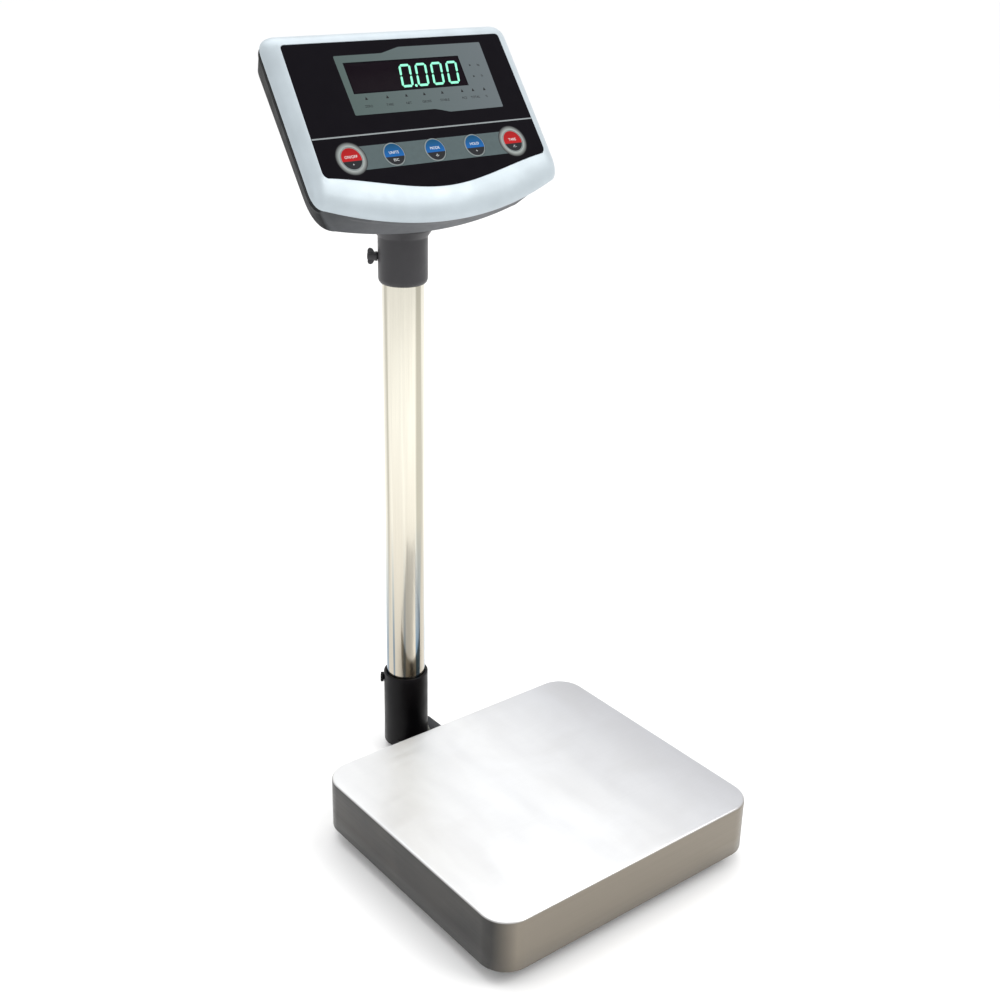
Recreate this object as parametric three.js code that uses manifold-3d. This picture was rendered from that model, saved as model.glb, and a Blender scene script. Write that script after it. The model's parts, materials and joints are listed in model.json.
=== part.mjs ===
// Bench scale: a stainless weighing pan on a levelled steel base, and a swivelling, tilting
// indicator on a column behind it. Millimetres, +Z up, the front edge at -Y.
import * as THREE from "three";
import { mergeVertices } from "three/addons/utils/BufferGeometryUtils.js";
import Module from "manifold-3d";

const wasm = await Module();
wasm.setup();

// Driving dimensions. Heights are above the surface that the feet stand on; x and y are from
// the middle of the pan.
const GAP = 0.3; // between pieces that touch
const PAN = { width: 292, depth: 266, top: 64, skirt: 50, corner: 26, sheet: 1.2, bend: 2.6 };
const FOOT = { x: 88, front: -88, rear: 100, padRadius: 14, padHeight: 10, studRadius: 4, studTop: 38 };
const RAIL = { width: 26, height: 16, wall: 2, bottom: 12.9, front: -112, rear: 116 };
const CROSS = { y: 88, width: 22 };
const PLATE = { halfWidth: 30, thickness: 4.5 };
const CELL = { length: 130, width: 30, bottom: 21, height: 22, slotRadius: 7.5, slotHalf: 15 };
const CELL_BOLT = { radius: 3, headRadius: 5, headHeight: 4, near: 40, far: 55 };
const CELL_TRAVEL_GAP = 0.6; // room for the loaded end to move down
const SPACER = { thickness: 3, half: 13, length: 34, y: 47 };
const TOP_FRAME = { thickness: 5, plateHalfWidth: 40, barHalfLength: 112, barWidth: 24 };
const PAD = { x: 100, radius: 9 };
const STOP = { x: 60, radius: 3, gap: 0.9, collarRadius: 5.5, collarHeight: 4 };
const COLUMN = { y: 207.9, radius: 19.05, wall: 1.5, bottom: 10.6, top: 528, sides: 28 };
const SOCKET = { radius: 22, bottom: 7, top: 86, ledge: 16, ledgeTop: 10.3, screwHeight: 77 };
const SCREW_TURN = 38; // degrees round the column from -X towards the back, of both screws in it
const BRACKET = {
  halfWidth: 31, front: 70, taper: 150, waist: 184, rear: 220,
  left: -20, right: 35.5, top: 12.6, thickness: 4.6,
};
const COLLAR = { radius: 22.2, bottom: 484, flareStart: 526, flareRadius: 27, flareTop: 533, top: 538 };
const CLAMP = { height: 507, shaft: 3, hubRadius: 4.5, wingSpan: 7.5, knobLength: 9 };
const TILT = { height: 572, radius: 10, tongueHalf: 10, earThickness: 7, pinRadius: 4 };
const CABLE = { radius: 2.5, lowHeight: 4, top: 500 };

// The indicator is drawn flat: u to the right, v up its face, w out of it, with the origin in
// the middle of the top edge of the front panel.
const FACE = { y: 218.4, height: 689.5, tiltBack: 35.73 };
const SHELL = { seam: -12, rear: -45, wall: 2.5, frontWall: 3.3, pocket: 0.8 };
// A shoulder of 2/3 makes the bowed lower edge a parabola; less keeps its ends flatter.
const OUTER_EDGE = {
  halfTop: 123, halfBottom: 125, top: 12.4, side: -121, cornerV: -137.6, cornerInset: 9,
  bottom: -160, topCorner: 16, shoulder: 2 / 3,
};
const PANEL_EDGE = {
  halfTop: 109.4, halfBottom: 112.6, top: 0, side: -109, cornerV: -115, cornerInset: 3.5,
  bottom: -133.4, topCorner: 4, shoulder: 0.27,
};
const REAR_EDGE = {
  halfTop: 110.5, halfBottom: 110.5, top: 11, side: -112, cornerV: -143, cornerInset: 18.5,
  bottom: -154.5, topCorner: 14, shoulder: 2 / 3,
};
const WINDOW = { half: 57.6, top: -19, bottom: -45.8 };
const KEY = { radius: 10.15, v: -101.3, pitch: 41.1, proud: 0.25, depth: 2, clearance: 0.25 };
const SWITCH = { u: 66, v: -112, halfU: 10, halfV: 7 };
const INLET = { u: -66, v: -112, radius: 7 };

// ---- geometry helpers ----

function toSolid(geometry) {
  const bare = geometry.clone();
  for (const name of Object.keys(bare.attributes)) {
    if (name !== "position") bare.deleteAttribute(name);
  }
  const merged = mergeVertices(bare, 1e-4);
  const mesh = new wasm.Mesh({
    numProp: 3,
    vertProperties: new Float32Array(merged.attributes.position.array),
    triVerts: new Uint32Array(merged.index.array),
  });
  return new wasm.Manifold(mesh);
}

function toGeometry(solid) {
  const mesh = solid.getMesh();
  const geometry = new THREE.BufferGeometry();
  geometry.setAttribute("position", new THREE.BufferAttribute(new Float32Array(mesh.vertProperties), 3));
  geometry.setIndex(new THREE.BufferAttribute(new Uint32Array(mesh.triVerts), 1));
  geometry.computeVertexNormals();
  return geometry;
}

function join(first, ...others) {
  return toGeometry(others.reduce((sum, next) => sum.add(toSolid(next)), toSolid(first)));
}

function cut(body, ...tools) {
  return toGeometry(tools.reduce((rest, tool) => rest.subtract(toSolid(tool)), toSolid(body)));
}

function block(x0, x1, y0, y1, z0, z1) {
  const geometry = new THREE.BoxGeometry(x1 - x0, y1 - y0, z1 - z0);
  return geometry.translate((x0 + x1) / 2, (y0 + y1) / 2, (z0 + z1) / 2);
}

function rod(radius, z0, z1, x = 0, y = 0, sides = 12) {
  const geometry = new THREE.CylinderGeometry(radius, radius, z1 - z0, sides);
  return geometry.rotateX(Math.PI / 2).translate(x, y, (z0 + z1) / 2);
}

// A rod along X, from x0 to x1, centred at the given y and z.
function crossRod(radius, x0, x1, y, z, sides = 12) {
  const geometry = new THREE.CylinderGeometry(radius, radius, x1 - x0, sides);
  return geometry.rotateZ(Math.PI / 2).translate((x0 + x1) / 2, y, z);
}

// A solid of revolution about a vertical axis, from [radius, height] pairs going up.
function turned(profile, x = 0, y = 0, sides = 16) {
  const points = profile.map(([radius, height]) => new THREE.Vector2(radius, height));
  return new THREE.LatheGeometry(points, sides).rotateX(Math.PI / 2).translate(x, y, 0);
}

function prism(shape, z0, z1, curveSegments = 8) {
  const geometry = new THREE.ExtrudeGeometry(shape, { depth: z1 - z0, bevelEnabled: false, curveSegments });
  return geometry.translate(0, 0, z0);
}

function cappedFan(ring, offset, faceUp) {
  const flat = ring.map((p) => new THREE.Vector2(p.x, p.y));
  return THREE.ShapeUtils.triangulateShape(flat, []).flatMap(([a, b, c]) => {
    const ab = flat[b].clone().sub(flat[a]);
    const ac = flat[c].clone().sub(flat[a]);
    const up = ab.cross(ac) > 0;
    return (up === faceUp ? [a, b, c] : [c, b, a]).map((i) => i + offset);
  });
}

// A closed skin over rings of equal length, counter-clockwise seen from above, lowest first.
function loft(rings) {
  const count = rings[0].length;
  const last = (rings.length - 1) * count;
  const index = [];
  for (let a = 0; a < last; a++) {
    const b = a % count === count - 1 ? a + 1 - count : a + 1;
    index.push(a, b, b + count, a, b + count, a + count);
  }
  index.push(...cappedFan(rings[0], 0, false), ...cappedFan(rings.at(-1), last, true));
  const geometry = new THREE.BufferGeometry();
  const position = rings.flat().flatMap((p) => [p.x, p.y, p.z]);
  geometry.setAttribute("position", new THREE.Float32BufferAttribute(position, 3));
  geometry.setIndex(index);
  return geometry;
}

function roundedRectangle(halfX, halfY, radius) {
  const shape = new THREE.Shape();
  const quarter = Math.PI / 2;
  shape.absarc(halfX - radius, halfY - radius, radius, 0, quarter);
  shape.absarc(-halfX + radius, halfY - radius, radius, quarter, 2 * quarter);
  shape.absarc(-halfX + radius, -halfY + radius, radius, 2 * quarter, 3 * quarter);
  shape.absarc(halfX - radius, -halfY + radius, radius, 3 * quarter, 4 * quarter);
  return shape;
}

function ringAt(shape, z, divisions) {
  const points = shape.getPoints(divisions);
  if (points[0].distanceTo(points.at(-1)) < 1e-6) points.pop();
  return points.map((p) => new THREE.Vector3(p.x, p.y, z));
}

// ---- materials ----

function finish(color, roughness, metalness) {
  return new THREE.MeshStandardMaterial({ color, roughness, metalness });
}

const stainless = finish(0xd8d8d6, 0.3, 1);
const polished = finish(0xd6d2c8, 0.15, 1);
const blackGloss = finish(0x0c0a10, 0.2, 0);
const framePaint = finish(0x2a2b2e, 0.5, 0);
const zinc = finish(0xa8acae, 0.4, 1);
const aluminium = finish(0xc4c7ca, 0.45, 1);
const rubber = finish(0x17181a, 0.85, 0);
const darkPlastic = finish(0x3d3d40, 0.5, 0);
const greyPlastic = finish(0x54565a, 0.55, 0);
const silverPlastic = finish(0xbfcad2, 0.35, 0.3);
const panelFilm = finish(0x0f0c12, 0.3, 0);
const smokedWindow = finish(0x08060a, 0.1, 0);
const boardGreen = finish(0x1d5b34, 0.6, 0);
const displayGrey = finish(0x222222, 0.5, 0);
const redKey = finish(0xb0161f, 0.4, 0);
const blueKey = finish(0x0a6390, 0.4, 0);
const cableSheath = finish(0x1b1b1d, 0.6, 0);

const scale = new THREE.Group();
const indicator = new THREE.Group();
indicator.position.set(0, FACE.y, FACE.height);
indicator.rotation.x = THREE.MathUtils.degToRad(90 - FACE.tiltBack);

function add(name, geometry, material, group = scale) {
  const mesh = new THREE.Mesh(geometry, material);
  mesh.name = name;
  group.add(mesh);
}

// ---- base frame ----

const railTop = RAIL.bottom + RAIL.height;
const plateTop = RAIL.bottom + PLATE.thickness;
const cellTop = CELL.bottom + CELL.height;
const topFrameBottom = cellTop + CELL_TRAVEL_GAP + SPACER.thickness + GAP;
const topFrameTop = topFrameBottom + TOP_FRAME.thickness;
const crossHalfLength = FOOT.x - RAIL.width / 2 - GAP;

function sideRail(side) {
  const inner = RAIL.width / 2 - RAIL.wall;
  const outer = block(-RAIL.width / 2, RAIL.width / 2, RAIL.front, RAIL.rear, RAIL.bottom, railTop);
  const floor = RAIL.bottom + RAIL.wall;
  const hollow = block(-inner, inner, RAIL.front - 1, RAIL.rear + 1, floor, railTop - RAIL.wall);
  const holes = [FOOT.front, FOOT.rear].map((y) => rod(FOOT.studRadius + GAP, 0, railTop + 1, 0, y));
  return cut(outer, hollow, ...holes).translate(side * FOOT.x, 0, 0);
}

function crossmember(y, boltHoles) {
  const half = CROSS.width / 2;
  const inner = half - RAIL.wall;
  const outer = block(-crossHalfLength, crossHalfLength, y - half, y + half, RAIL.bottom, railTop);
  const reach = crossHalfLength + 1;
  const floor = RAIL.bottom + RAIL.wall;
  const hollow = block(-reach, reach, y - inner, y + inner, floor, railTop - RAIL.wall);
  const stopHoles = [-STOP.x, STOP.x].map((x) => rod(STOP.radius + GAP, 0, railTop + 1, x, y));
  const bracketHoles = boltHoles.map((x) => rod(CELL_BOLT.radius + GAP, 0, RAIL.bottom + 5, x, y));
  return cut(outer, hollow, ...stopHoles, ...bracketHoles);
}

function centrePlate() {
  const halfLength = CROSS.y - CROSS.width / 2 - GAP;
  const sheet = block(-PLATE.halfWidth, PLATE.halfWidth, -halfLength, halfLength, RAIL.bottom, plateTop);
  const radius = CELL_BOLT.radius + GAP;
  const holes = [CELL_BOLT.near, CELL_BOLT.far].map((y) => rod(radius, 0, plateTop + 1, 0, y));
  return cut(sheet, ...holes);
}

function overloadStop(x, y) {
  const tip = topFrameBottom - STOP.gap;
  const nutTop = railTop + GAP + STOP.collarHeight;
  return join(
    rod(STOP.radius, RAIL.bottom + 3, tip, x, y),
    rod(STOP.collarRadius, railTop + GAP, nutTop, x, y, 6),
  );
}

function bubbleLevel() {
  const bottom = railTop + GAP;
  return turned([[0, bottom], [9, bottom], [9, bottom + 6], [7.5, bottom + 7], [0, bottom + 7]], 0, -CROSS.y);
}

const bracketBoltX = 20;
add("base_rail_left", sideRail(-1), framePaint);
add("base_rail_right", sideRail(1), framePaint);
add("base_crossmember_front", crossmember(-CROSS.y, []), framePaint);
add("base_crossmember_rear", crossmember(CROSS.y, [-bracketBoltX, bracketBoltX]), framePaint);
add("base_centre_plate", centrePlate(), framePaint);
[[-1, -1], [1, -1], [-1, 1], [1, 1]].forEach(([sideX, sideY], i) => {
  add(`overload_stop_${i + 1}`, overloadStop(sideX * STOP.x, sideY * CROSS.y), zinc);
});
add("bubble_level", bubbleLevel(), aluminium);

// ---- load cell and the frame that it carries ----

function spacer(y, bottom) {
  const half = SPACER.length / 2;
  const plate = block(-SPACER.half, SPACER.half, y - half, y + half, bottom, bottom + SPACER.thickness);
  const side = Math.sign(y);
  const radius = CELL_BOLT.radius + GAP;
  const holes = [CELL_BOLT.near, CELL_BOLT.far].map((d) => rod(radius, 0, PAN.top, 0, side * d));
  return cut(plate, ...holes);
}

function loadCell() {
  const half = CELL.width / 2;
  const end = CELL.length / 2;
  const middle = CELL.bottom + CELL.height / 2;
  const bar = block(-half, half, -end, end, CELL.bottom, cellTop);
  const reach = half + 1;
  const slot = [-1, 1].map((side) => crossRod(CELL.slotRadius, -reach, reach, side * CELL.slotHalf, middle));
  const web = block(-reach, reach, -CELL.slotHalf, CELL.slotHalf, middle - 3, middle + 3);
  const fixedHoles = [CELL_BOLT.near, CELL_BOLT.far].map((y) => rod(3.3, CELL.bottom - 1, middle + 3, 0, y));
  const liveHoles = [-CELL_BOLT.near, -CELL_BOLT.far].map((y) => rod(3.3, middle - 3, cellTop + 1, 0, y));
  return cut(bar, ...slot, web, ...fixedHoles, ...liveHoles);
}

// A cap screw whose head is below its seat (direction -1) or above it (direction 1).
function capScrew(x, y, seat, direction, length) {
  const headEnd = seat + direction * CELL_BOLT.headHeight;
  const tip = seat - direction * length;
  const sorted = (a, b) => [Math.min(a, b), Math.max(a, b)];
  return join(
    rod(CELL_BOLT.headRadius, ...sorted(seat, headEnd), x, y),
    rod(CELL_BOLT.radius, ...sorted(headEnd, tip), x, y),
  );
}

function topPlate() {
  const halfLength = CROSS.y - TOP_FRAME.barWidth / 2 - GAP;
  const half = TOP_FRAME.plateHalfWidth;
  const sheet = block(-half, half, -halfLength, halfLength, topFrameBottom, topFrameTop);
  const radius = CELL_BOLT.radius + GAP;
  const holes = [CELL_BOLT.near, CELL_BOLT.far].map((y) => rod(radius, 0, PAN.top, 0, -y));
  return cut(sheet, ...holes);
}

function topBar(y) {
  const half = TOP_FRAME.barWidth / 2;
  const end = TOP_FRAME.barHalfLength;
  return block(-end, end, y - half, y + half, topFrameBottom, topFrameTop);
}

function panPad(x, y) {
  const bottom = topFrameTop + GAP;
  const top = PAN.top - PAN.sheet - GAP;
  const { radius } = PAD;
  return turned([[0, bottom], [radius, bottom], [radius, top - 2], [radius - 2, top], [0, top]], x, y);
}

add("load_cell_spacer_lower", spacer(SPACER.y, plateTop + GAP), aluminium);
add("load_cell", loadCell(), aluminium);
add("load_cell_bolt_lower_1", capScrew(0, CELL_BOLT.near, RAIL.bottom - GAP, -1, 18), zinc);
add("load_cell_bolt_lower_2", capScrew(0, CELL_BOLT.far, RAIL.bottom - GAP, -1, 18), zinc);
add("load_cell_spacer_upper", spacer(-SPACER.y, cellTop + CELL_TRAVEL_GAP), aluminium);
add("load_cell_bolt_upper_1", capScrew(0, -CELL_BOLT.near, topFrameTop + GAP, 1, 20), zinc);
add("load_cell_bolt_upper_2", capScrew(0, -CELL_BOLT.far, topFrameTop + GAP, 1, 20), zinc);
add("top_frame_plate", topPlate(), framePaint);
add("top_frame_bar_front", topBar(-CROSS.y), framePaint);
add("top_frame_bar_rear", topBar(CROSS.y), framePaint);
[[-1, -1], [1, -1], [-1, 1], [1, 1]].forEach(([sideX, sideY], i) => {
  add(`pan_pad_${i + 1}`, panPad(sideX * PAD.x, sideY * CROSS.y), rubber);
});

// ---- weighing pan ----

function panRing(inset, z) {
  const shape = roundedRectangle(PAN.width / 2 - inset, PAN.depth / 2 - inset, PAN.corner - inset);
  return ringAt(shape, z, 5);
}

function pan() {
  const bottom = PAN.top - PAN.skirt;
  const innerTop = PAN.top - PAN.sheet;
  const outer = loft([
    panRing(0, bottom),
    panRing(0, PAN.top - PAN.bend),
    panRing(0.3 * PAN.bend, PAN.top - 0.3 * PAN.bend),
    panRing(PAN.bend, PAN.top),
  ]);
  const inner = loft([
    panRing(PAN.sheet, bottom - 1),
    panRing(PAN.sheet, PAN.top - PAN.bend - PAN.sheet),
    panRing(PAN.bend, innerTop),
  ]);
  return cut(outer, inner);
}

add("weighing_pan", pan(), stainless);

// ---- levelling feet ----

function footPad() {
  const top = FOOT.padHeight;
  return turned([
    [0, 0], [FOOT.padRadius, 0], [FOOT.padRadius, 4], [9.5, top], [6.4, top], [6.4, 6], [0, 6],
  ]);
}

function footStud() {
  return join(rod(6, 6.3, 9.5, 0, 0, 6), rod(FOOT.studRadius, 9, FOOT.studTop));
}

[[-1, FOOT.front], [1, FOOT.front], [-1, FOOT.rear], [1, FOOT.rear]].forEach(([side, y], i) => {
  add(`foot_pad_${i + 1}`, footPad().translate(side * FOOT.x, y, 0), rubber);
  add(`foot_stud_${i + 1}`, footStud().translate(side * FOOT.x, y, 0), zinc);
});

// ---- column ----

// The plate reaches past the socket on the right only, and is notched round it.
function bracketPlate() {
  const { halfWidth, front, taper, waist, rear, left, right, top, thickness } = BRACKET;
  const shape = new THREE.Shape();
  shape.moveTo(-halfWidth, front);
  shape.lineTo(halfWidth, front);
  shape.lineTo(halfWidth, taper);
  shape.lineTo(right, waist);
  shape.lineTo(right, rear - 4);
  shape.quadraticCurveTo(right, rear, right - 4, rear);
  shape.lineTo(0, rear);
  shape.lineTo(0, COLUMN.y);
  shape.lineTo(left, COLUMN.y - 4);
  shape.lineTo(left, waist);
  shape.lineTo(-halfWidth, taper);
  const sheet = prism(shape, top - thickness, top);
  const holes = [-1, 1].map((side) => rod(CELL_BOLT.radius + GAP, 0, PAN.top, side * bracketBoltX, CROSS.y));
  return cut(sheet, rod(SOCKET.radius + 2 * GAP, 0, PAN.top, 0, COLUMN.y, COLUMN.sides), ...holes);
}

// Turns a piece drawn about the origin along -X to where the screws are, and moves it to the column.
function toScrewSide(geometry) {
  return geometry.rotateZ(THREE.MathUtils.degToRad(-SCREW_TURN)).translate(0, COLUMN.y, 0);
}

function socket() {
  const bore = COLUMN.radius + GAP;
  const ring = turned([
    [SOCKET.ledge, SOCKET.bottom], [SOCKET.radius, SOCKET.bottom], [SOCKET.radius, SOCKET.top - 0.8],
    [SOCKET.radius - 0.8, SOCKET.top], [bore, SOCKET.top], [bore, SOCKET.ledgeTop],
    [SOCKET.ledge, SOCKET.ledgeTop], [SOCKET.ledge, SOCKET.bottom],
  ], 0, COLUMN.y, COLUMN.sides);
  return cut(ring, toScrewSide(crossRod(3.3, -SOCKET.radius - 2, -bore + 1, 0, SOCKET.screwHeight)));
}

function socketScrew() {
  const tip = -COLUMN.radius - GAP;
  const seat = -SOCKET.radius - GAP;
  return toScrewSide(join(
    crossRod(3, seat - 1, tip, 0, SOCKET.screwHeight),
    crossRod(5, seat - 3, seat, 0, SOCKET.screwHeight),
  ));
}

function columnTube() {
  const bore = COLUMN.radius - COLUMN.wall;
  return turned([
    [bore, COLUMN.bottom], [COLUMN.radius, COLUMN.bottom], [COLUMN.radius, COLUMN.top],
    [bore, COLUMN.top], [bore, COLUMN.bottom],
  ], 0, COLUMN.y, COLUMN.sides);
}

// The load cell's lead drops behind the cell, runs under the bracket and climbs inside the tube.
function loadCellCable() {
  const cellEnd = CELL.length / 2 + 1;
  const low = CABLE.lowHeight;
  const tube = COLUMN.y;
  const besideCell = [
    [0, cellEnd, 31], [0, cellEnd + 2.5, 31], [-5, 71.4, 30], [-14, 71.6, 28], [-26, 71, 24], [-36, 70, 18],
  ];
  const underBracket = [
    [-38.5, 70, 11], [-38, 76, 5.5], [-36, 90, low], [-30, 112, low], [-13, 150, low], [-2, tube - 24.5, low],
  ];
  const insideTube = [
    [0, tube - 11.5, 4.8], [0, tube - 4, 9], [0, tube - 0.7, 18],
    [0, tube, 32], [0, tube, 120], [0, tube, 320], [0, tube, CABLE.top],
  ];
  const points = [...besideCell, ...underBracket, ...insideTube];
  const route = new THREE.CatmullRomCurve3(points.map((p) => new THREE.Vector3(...p)), false, "centripetal");
  const section = new THREE.Shape();
  for (let i = 0; i < 8; i++) {
    const angle = (i * Math.PI) / 4;
    section[i ? "lineTo" : "moveTo"](CABLE.radius * Math.cos(angle), CABLE.radius * Math.sin(angle));
  }
  return new THREE.ExtrudeGeometry(section, { steps: 48, extrudePath: route, bevelEnabled: false });
}

add("column_bracket", bracketPlate(), framePaint);
const bracketBoltSeat = BRACKET.top - BRACKET.thickness - GAP;
for (const [name, side] of [["left", -1], ["right", 1]]) {
  add(`bracket_bolt_${name}`, capScrew(side * bracketBoltX, CROSS.y, bracketBoltSeat, -1, 14), zinc);
}
add("column_socket", socket(), blackGloss);
add("socket_screw", socketScrew(), blackGloss);
add("column_tube", columnTube(), polished);
add("load_cell_cable", loadCellCable(), cableSheath);

// ---- pole head: collar and tilt tongue ----

function poleHead() {
  const bore = COLUMN.radius + GAP;
  const collar = turned([
    [0, COLLAR.bottom], [COLLAR.radius - 2.2, COLLAR.bottom], [COLLAR.radius - 0.6, COLLAR.bottom + 1.8],
    [COLLAR.radius, COLLAR.bottom + 4], [COLLAR.radius, COLLAR.flareStart],
    [COLLAR.flareRadius, COLLAR.flareTop],
    [COLLAR.flareRadius, COLLAR.top - 1], [COLLAR.flareRadius - 1, COLLAR.top], [0, COLLAR.top],
  ], 0, COLUMN.y, COLUMN.sides);
  const half = TILT.tongueHalf;
  const front = COLUMN.y - TILT.radius;
  const tongue = block(-half, half, front, front + 2 * TILT.radius, COLLAR.top - 2, TILT.height);
  const knuckle = crossRod(TILT.radius, -half, half, COLUMN.y, TILT.height, 24);
  return cut(
    join(collar, tongue, knuckle),
    rod(bore, COLLAR.bottom - 1, COLUMN.top + 2, 0, COLUMN.y, COLUMN.sides),
    crossRod(TILT.pinRadius + GAP, -half - 1, half + 1, COLUMN.y, TILT.height),
    toScrewSide(crossRod(CLAMP.shaft + GAP, -COLLAR.radius - 2, -bore + 1, 0, CLAMP.height)),
  );
}

function clampScrew() {
  const tip = -COLUMN.radius - 2 * GAP;
  const seat = -COLLAR.radius - GAP;
  const { height, shaft, hubRadius, wingSpan, knobLength } = CLAMP;
  const wings = block(seat - knobLength, seat - 2, -1.6, 1.6, height - wingSpan, height + wingSpan);
  return toScrewSide(join(
    crossRod(shaft, seat - 1, tip, 0, height),
    crossRod(hubRadius, seat - knobLength, seat, 0, height),
    wings,
  ));
}

add("pole_head", poleHead(), darkPlastic);
add("clamp_screw", clampScrew(), darkPlastic);

// ---- indicator ----

function edgeMix(from, to, t) {
  const mixed = {};
  for (const key of Object.keys(from)) mixed[key] = from[key] + (to[key] - from[key]) * t;
  return mixed;
}

function edgeInset(edge, inset) {
  return {
    ...edge,
    halfTop: edge.halfTop - inset,
    halfBottom: edge.halfBottom - inset,
    top: edge.top - inset,
    cornerV: edge.cornerV + inset,
    bottom: edge.bottom + inset,
    side: edge.side + inset,
  };
}

// The outline shared by the shells and the front panel: straight sides, a bowed lower edge.
function headOutline(edge) {
  const { halfTop, halfBottom, top, side, cornerV, cornerInset, bottom, topCorner, shoulder } = edge;
  const arcEnd = halfBottom - cornerInset;
  const shape = new THREE.Shape();
  shape.moveTo(halfTop - topCorner, top);
  shape.lineTo(-halfTop + topCorner, top);
  shape.quadraticCurveTo(-halfTop, top, -halfTop, top - topCorner);
  shape.lineTo(-halfBottom, side);
  shape.quadraticCurveTo(-halfBottom, cornerV + 2, -arcEnd, cornerV);
  const shoulderV = cornerV + shoulder * (bottom - cornerV);
  shape.bezierCurveTo((-2 / 3) * arcEnd, shoulderV, -arcEnd / 3, bottom, 0, bottom);
  shape.bezierCurveTo(arcEnd / 3, bottom, (2 / 3) * arcEnd, shoulderV, arcEnd, cornerV);
  shape.quadraticCurveTo(halfBottom, cornerV + 2, halfBottom, side);
  shape.lineTo(halfTop, top - topCorner);
  shape.quadraticCurveTo(halfTop, top, halfTop - topCorner, top);
  return shape;
}

function headRing(edge, w) {
  return ringAt(headOutline(edge), w, 6);
}

function keyPositions() {
  return [-2, -1, 0, 1, 2].map((step) => step * KEY.pitch);
}

function frontShell() {
  const crown = [[0, -9.7], [0.1, -6.4], [0.34, -2.9], [0.66, -0.8], [0.92, 0]];
  const outer = loft([
    headRing(edgeInset(OUTER_EDGE, 0.5), SHELL.seam),
    ...crown.map(([t, w]) => headRing(edgeMix(OUTER_EDGE, PANEL_EDGE, t), w)),
  ]);
  const inner = loft([
    headRing(edgeInset(OUTER_EDGE, SHELL.wall + 0.5), SHELL.seam - 1),
    headRing(edgeInset(edgeMix(OUTER_EDGE, PANEL_EDGE, 0.1), SHELL.wall), -8.5),
    headRing(edgeInset(edgeMix(OUTER_EDGE, PANEL_EDGE, 0.4), SHELL.wall), -5.5),
    headRing(edgeInset(edgeMix(OUTER_EDGE, PANEL_EDGE, 0.7), SHELL.wall), -SHELL.frontWall),
  ]);
  const pocket = prism(headOutline(edgeInset(PANEL_EDGE, -GAP)), -SHELL.pocket, 1);
  const opening = block(-WINDOW.half, WINDOW.half, WINDOW.bottom, WINDOW.top, -6, 1);
  const keyHoles = keyPositions().map((u) => rod(KEY.radius + KEY.clearance, -6, 1, u, KEY.v, 24));
  return cut(outer, inner, pocket, opening, ...keyHoles);
}

function backShell() {
  const front = SHELL.seam - GAP;
  const rear = SHELL.rear;
  const outer = loft([
    headRing(edgeInset(REAR_EDGE, 1.5), rear),
    headRing(REAR_EDGE, rear + 1.5),
    headRing(edgeInset(OUTER_EDGE, 1.2), front - 5),
    headRing(edgeInset(OUTER_EDGE, 0.8), front),
  ]);
  const inner = loft([
    headRing(edgeInset(REAR_EDGE, SHELL.wall + 0.5), rear + SHELL.wall),
    headRing(edgeInset(OUTER_EDGE, SHELL.wall + 1.2), front - 5),
    headRing(edgeInset(OUTER_EDGE, SHELL.wall + 0.8), front + 1),
  ]);
  const { u, v, halfU, halfV } = SWITCH;
  const [reachU, reachV] = [halfU + GAP, halfV + GAP];
  const switchHole = block(u - reachU, u + reachU, v - reachV, v + reachV, rear - 1, rear + 4);
  const inletHole = rod(INLET.radius + GAP, rear - 1, rear + 4, INLET.u, INLET.v);
  return cut(outer, inner, switchHole, inletHole);
}

function frontPanel() {
  const film = prism(headOutline(PANEL_EDGE), -SHELL.pocket + GAP, 0);
  const opening = block(-WINDOW.half, WINDOW.half, WINDOW.bottom, WINDOW.top, -2, 1);
  const keyHoles = keyPositions().map((u) => rod(KEY.radius + KEY.clearance, -2, 1, u, KEY.v, 24));
  return cut(film, opening, ...keyHoles);
}

function displayWindow() {
  const half = WINDOW.half - GAP;
  return block(-half, half, WINDOW.bottom + GAP, WINDOW.top - GAP, -SHELL.frontWall, -0.1);
}

function key() {
  const stem = rod(3, -KEY.depth - 1.1, -KEY.depth, 0, 0);
  return join(turned([
    [0, -KEY.depth], [KEY.radius, -KEY.depth], [KEY.radius, 0], [KEY.radius - 0.8, KEY.proud], [0, KEY.proud],
  ], 0, 0, 24), stem.translate(0, 0, 0.1));
}

function powerInlet() {
  const { u, v, radius } = INLET;
  const flange = rod(radius + 2, SHELL.rear - 1.8, SHELL.rear - GAP, u, v);
  const barrel = rod(radius, SHELL.rear - 1, SHELL.rear + 12, u, v);
  return cut(join(flange, barrel), rod(3, SHELL.rear - 3, SHELL.rear + 9, u, v, 16));
}

function switchBezel() {
  const { u, v, halfU, halfV } = SWITCH;
  const rear = SHELL.rear;
  const flange = block(u - halfU - 2, u + halfU + 2, v - halfV - 2, v + halfV + 2, rear - 2, rear - GAP);
  const body = block(u - halfU, u + halfU, v - halfV, v + halfV, rear - 1, rear + 12);
  const mouth = block(u - halfU + 1.5, u + halfU - 1.5, v - halfV + 1.5, v + halfV - 1.5, rear - 3, rear + 8);
  return cut(join(flange, body), mouth);
}

// The rocker lies across the switch, its two halves meeting in a shallow valley at the pivot.
function powerRocker() {
  const half = SWITCH.halfU - 3;
  const shape = new THREE.Shape();
  shape.moveTo(-half, -4.2);
  shape.lineTo(0, -2.2);
  shape.lineTo(half, -2.2);
  shape.lineTo(half - 1, 1);
  shape.lineTo(2, 4);
  shape.lineTo(-2, 4);
  shape.lineTo(-half + 0.6, 0);
  const width = SWITCH.halfV - 2;
  return prism(shape, -width, width).rotateX(Math.PI / 2).translate(SWITCH.u, SWITCH.v, SHELL.rear);
}

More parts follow.
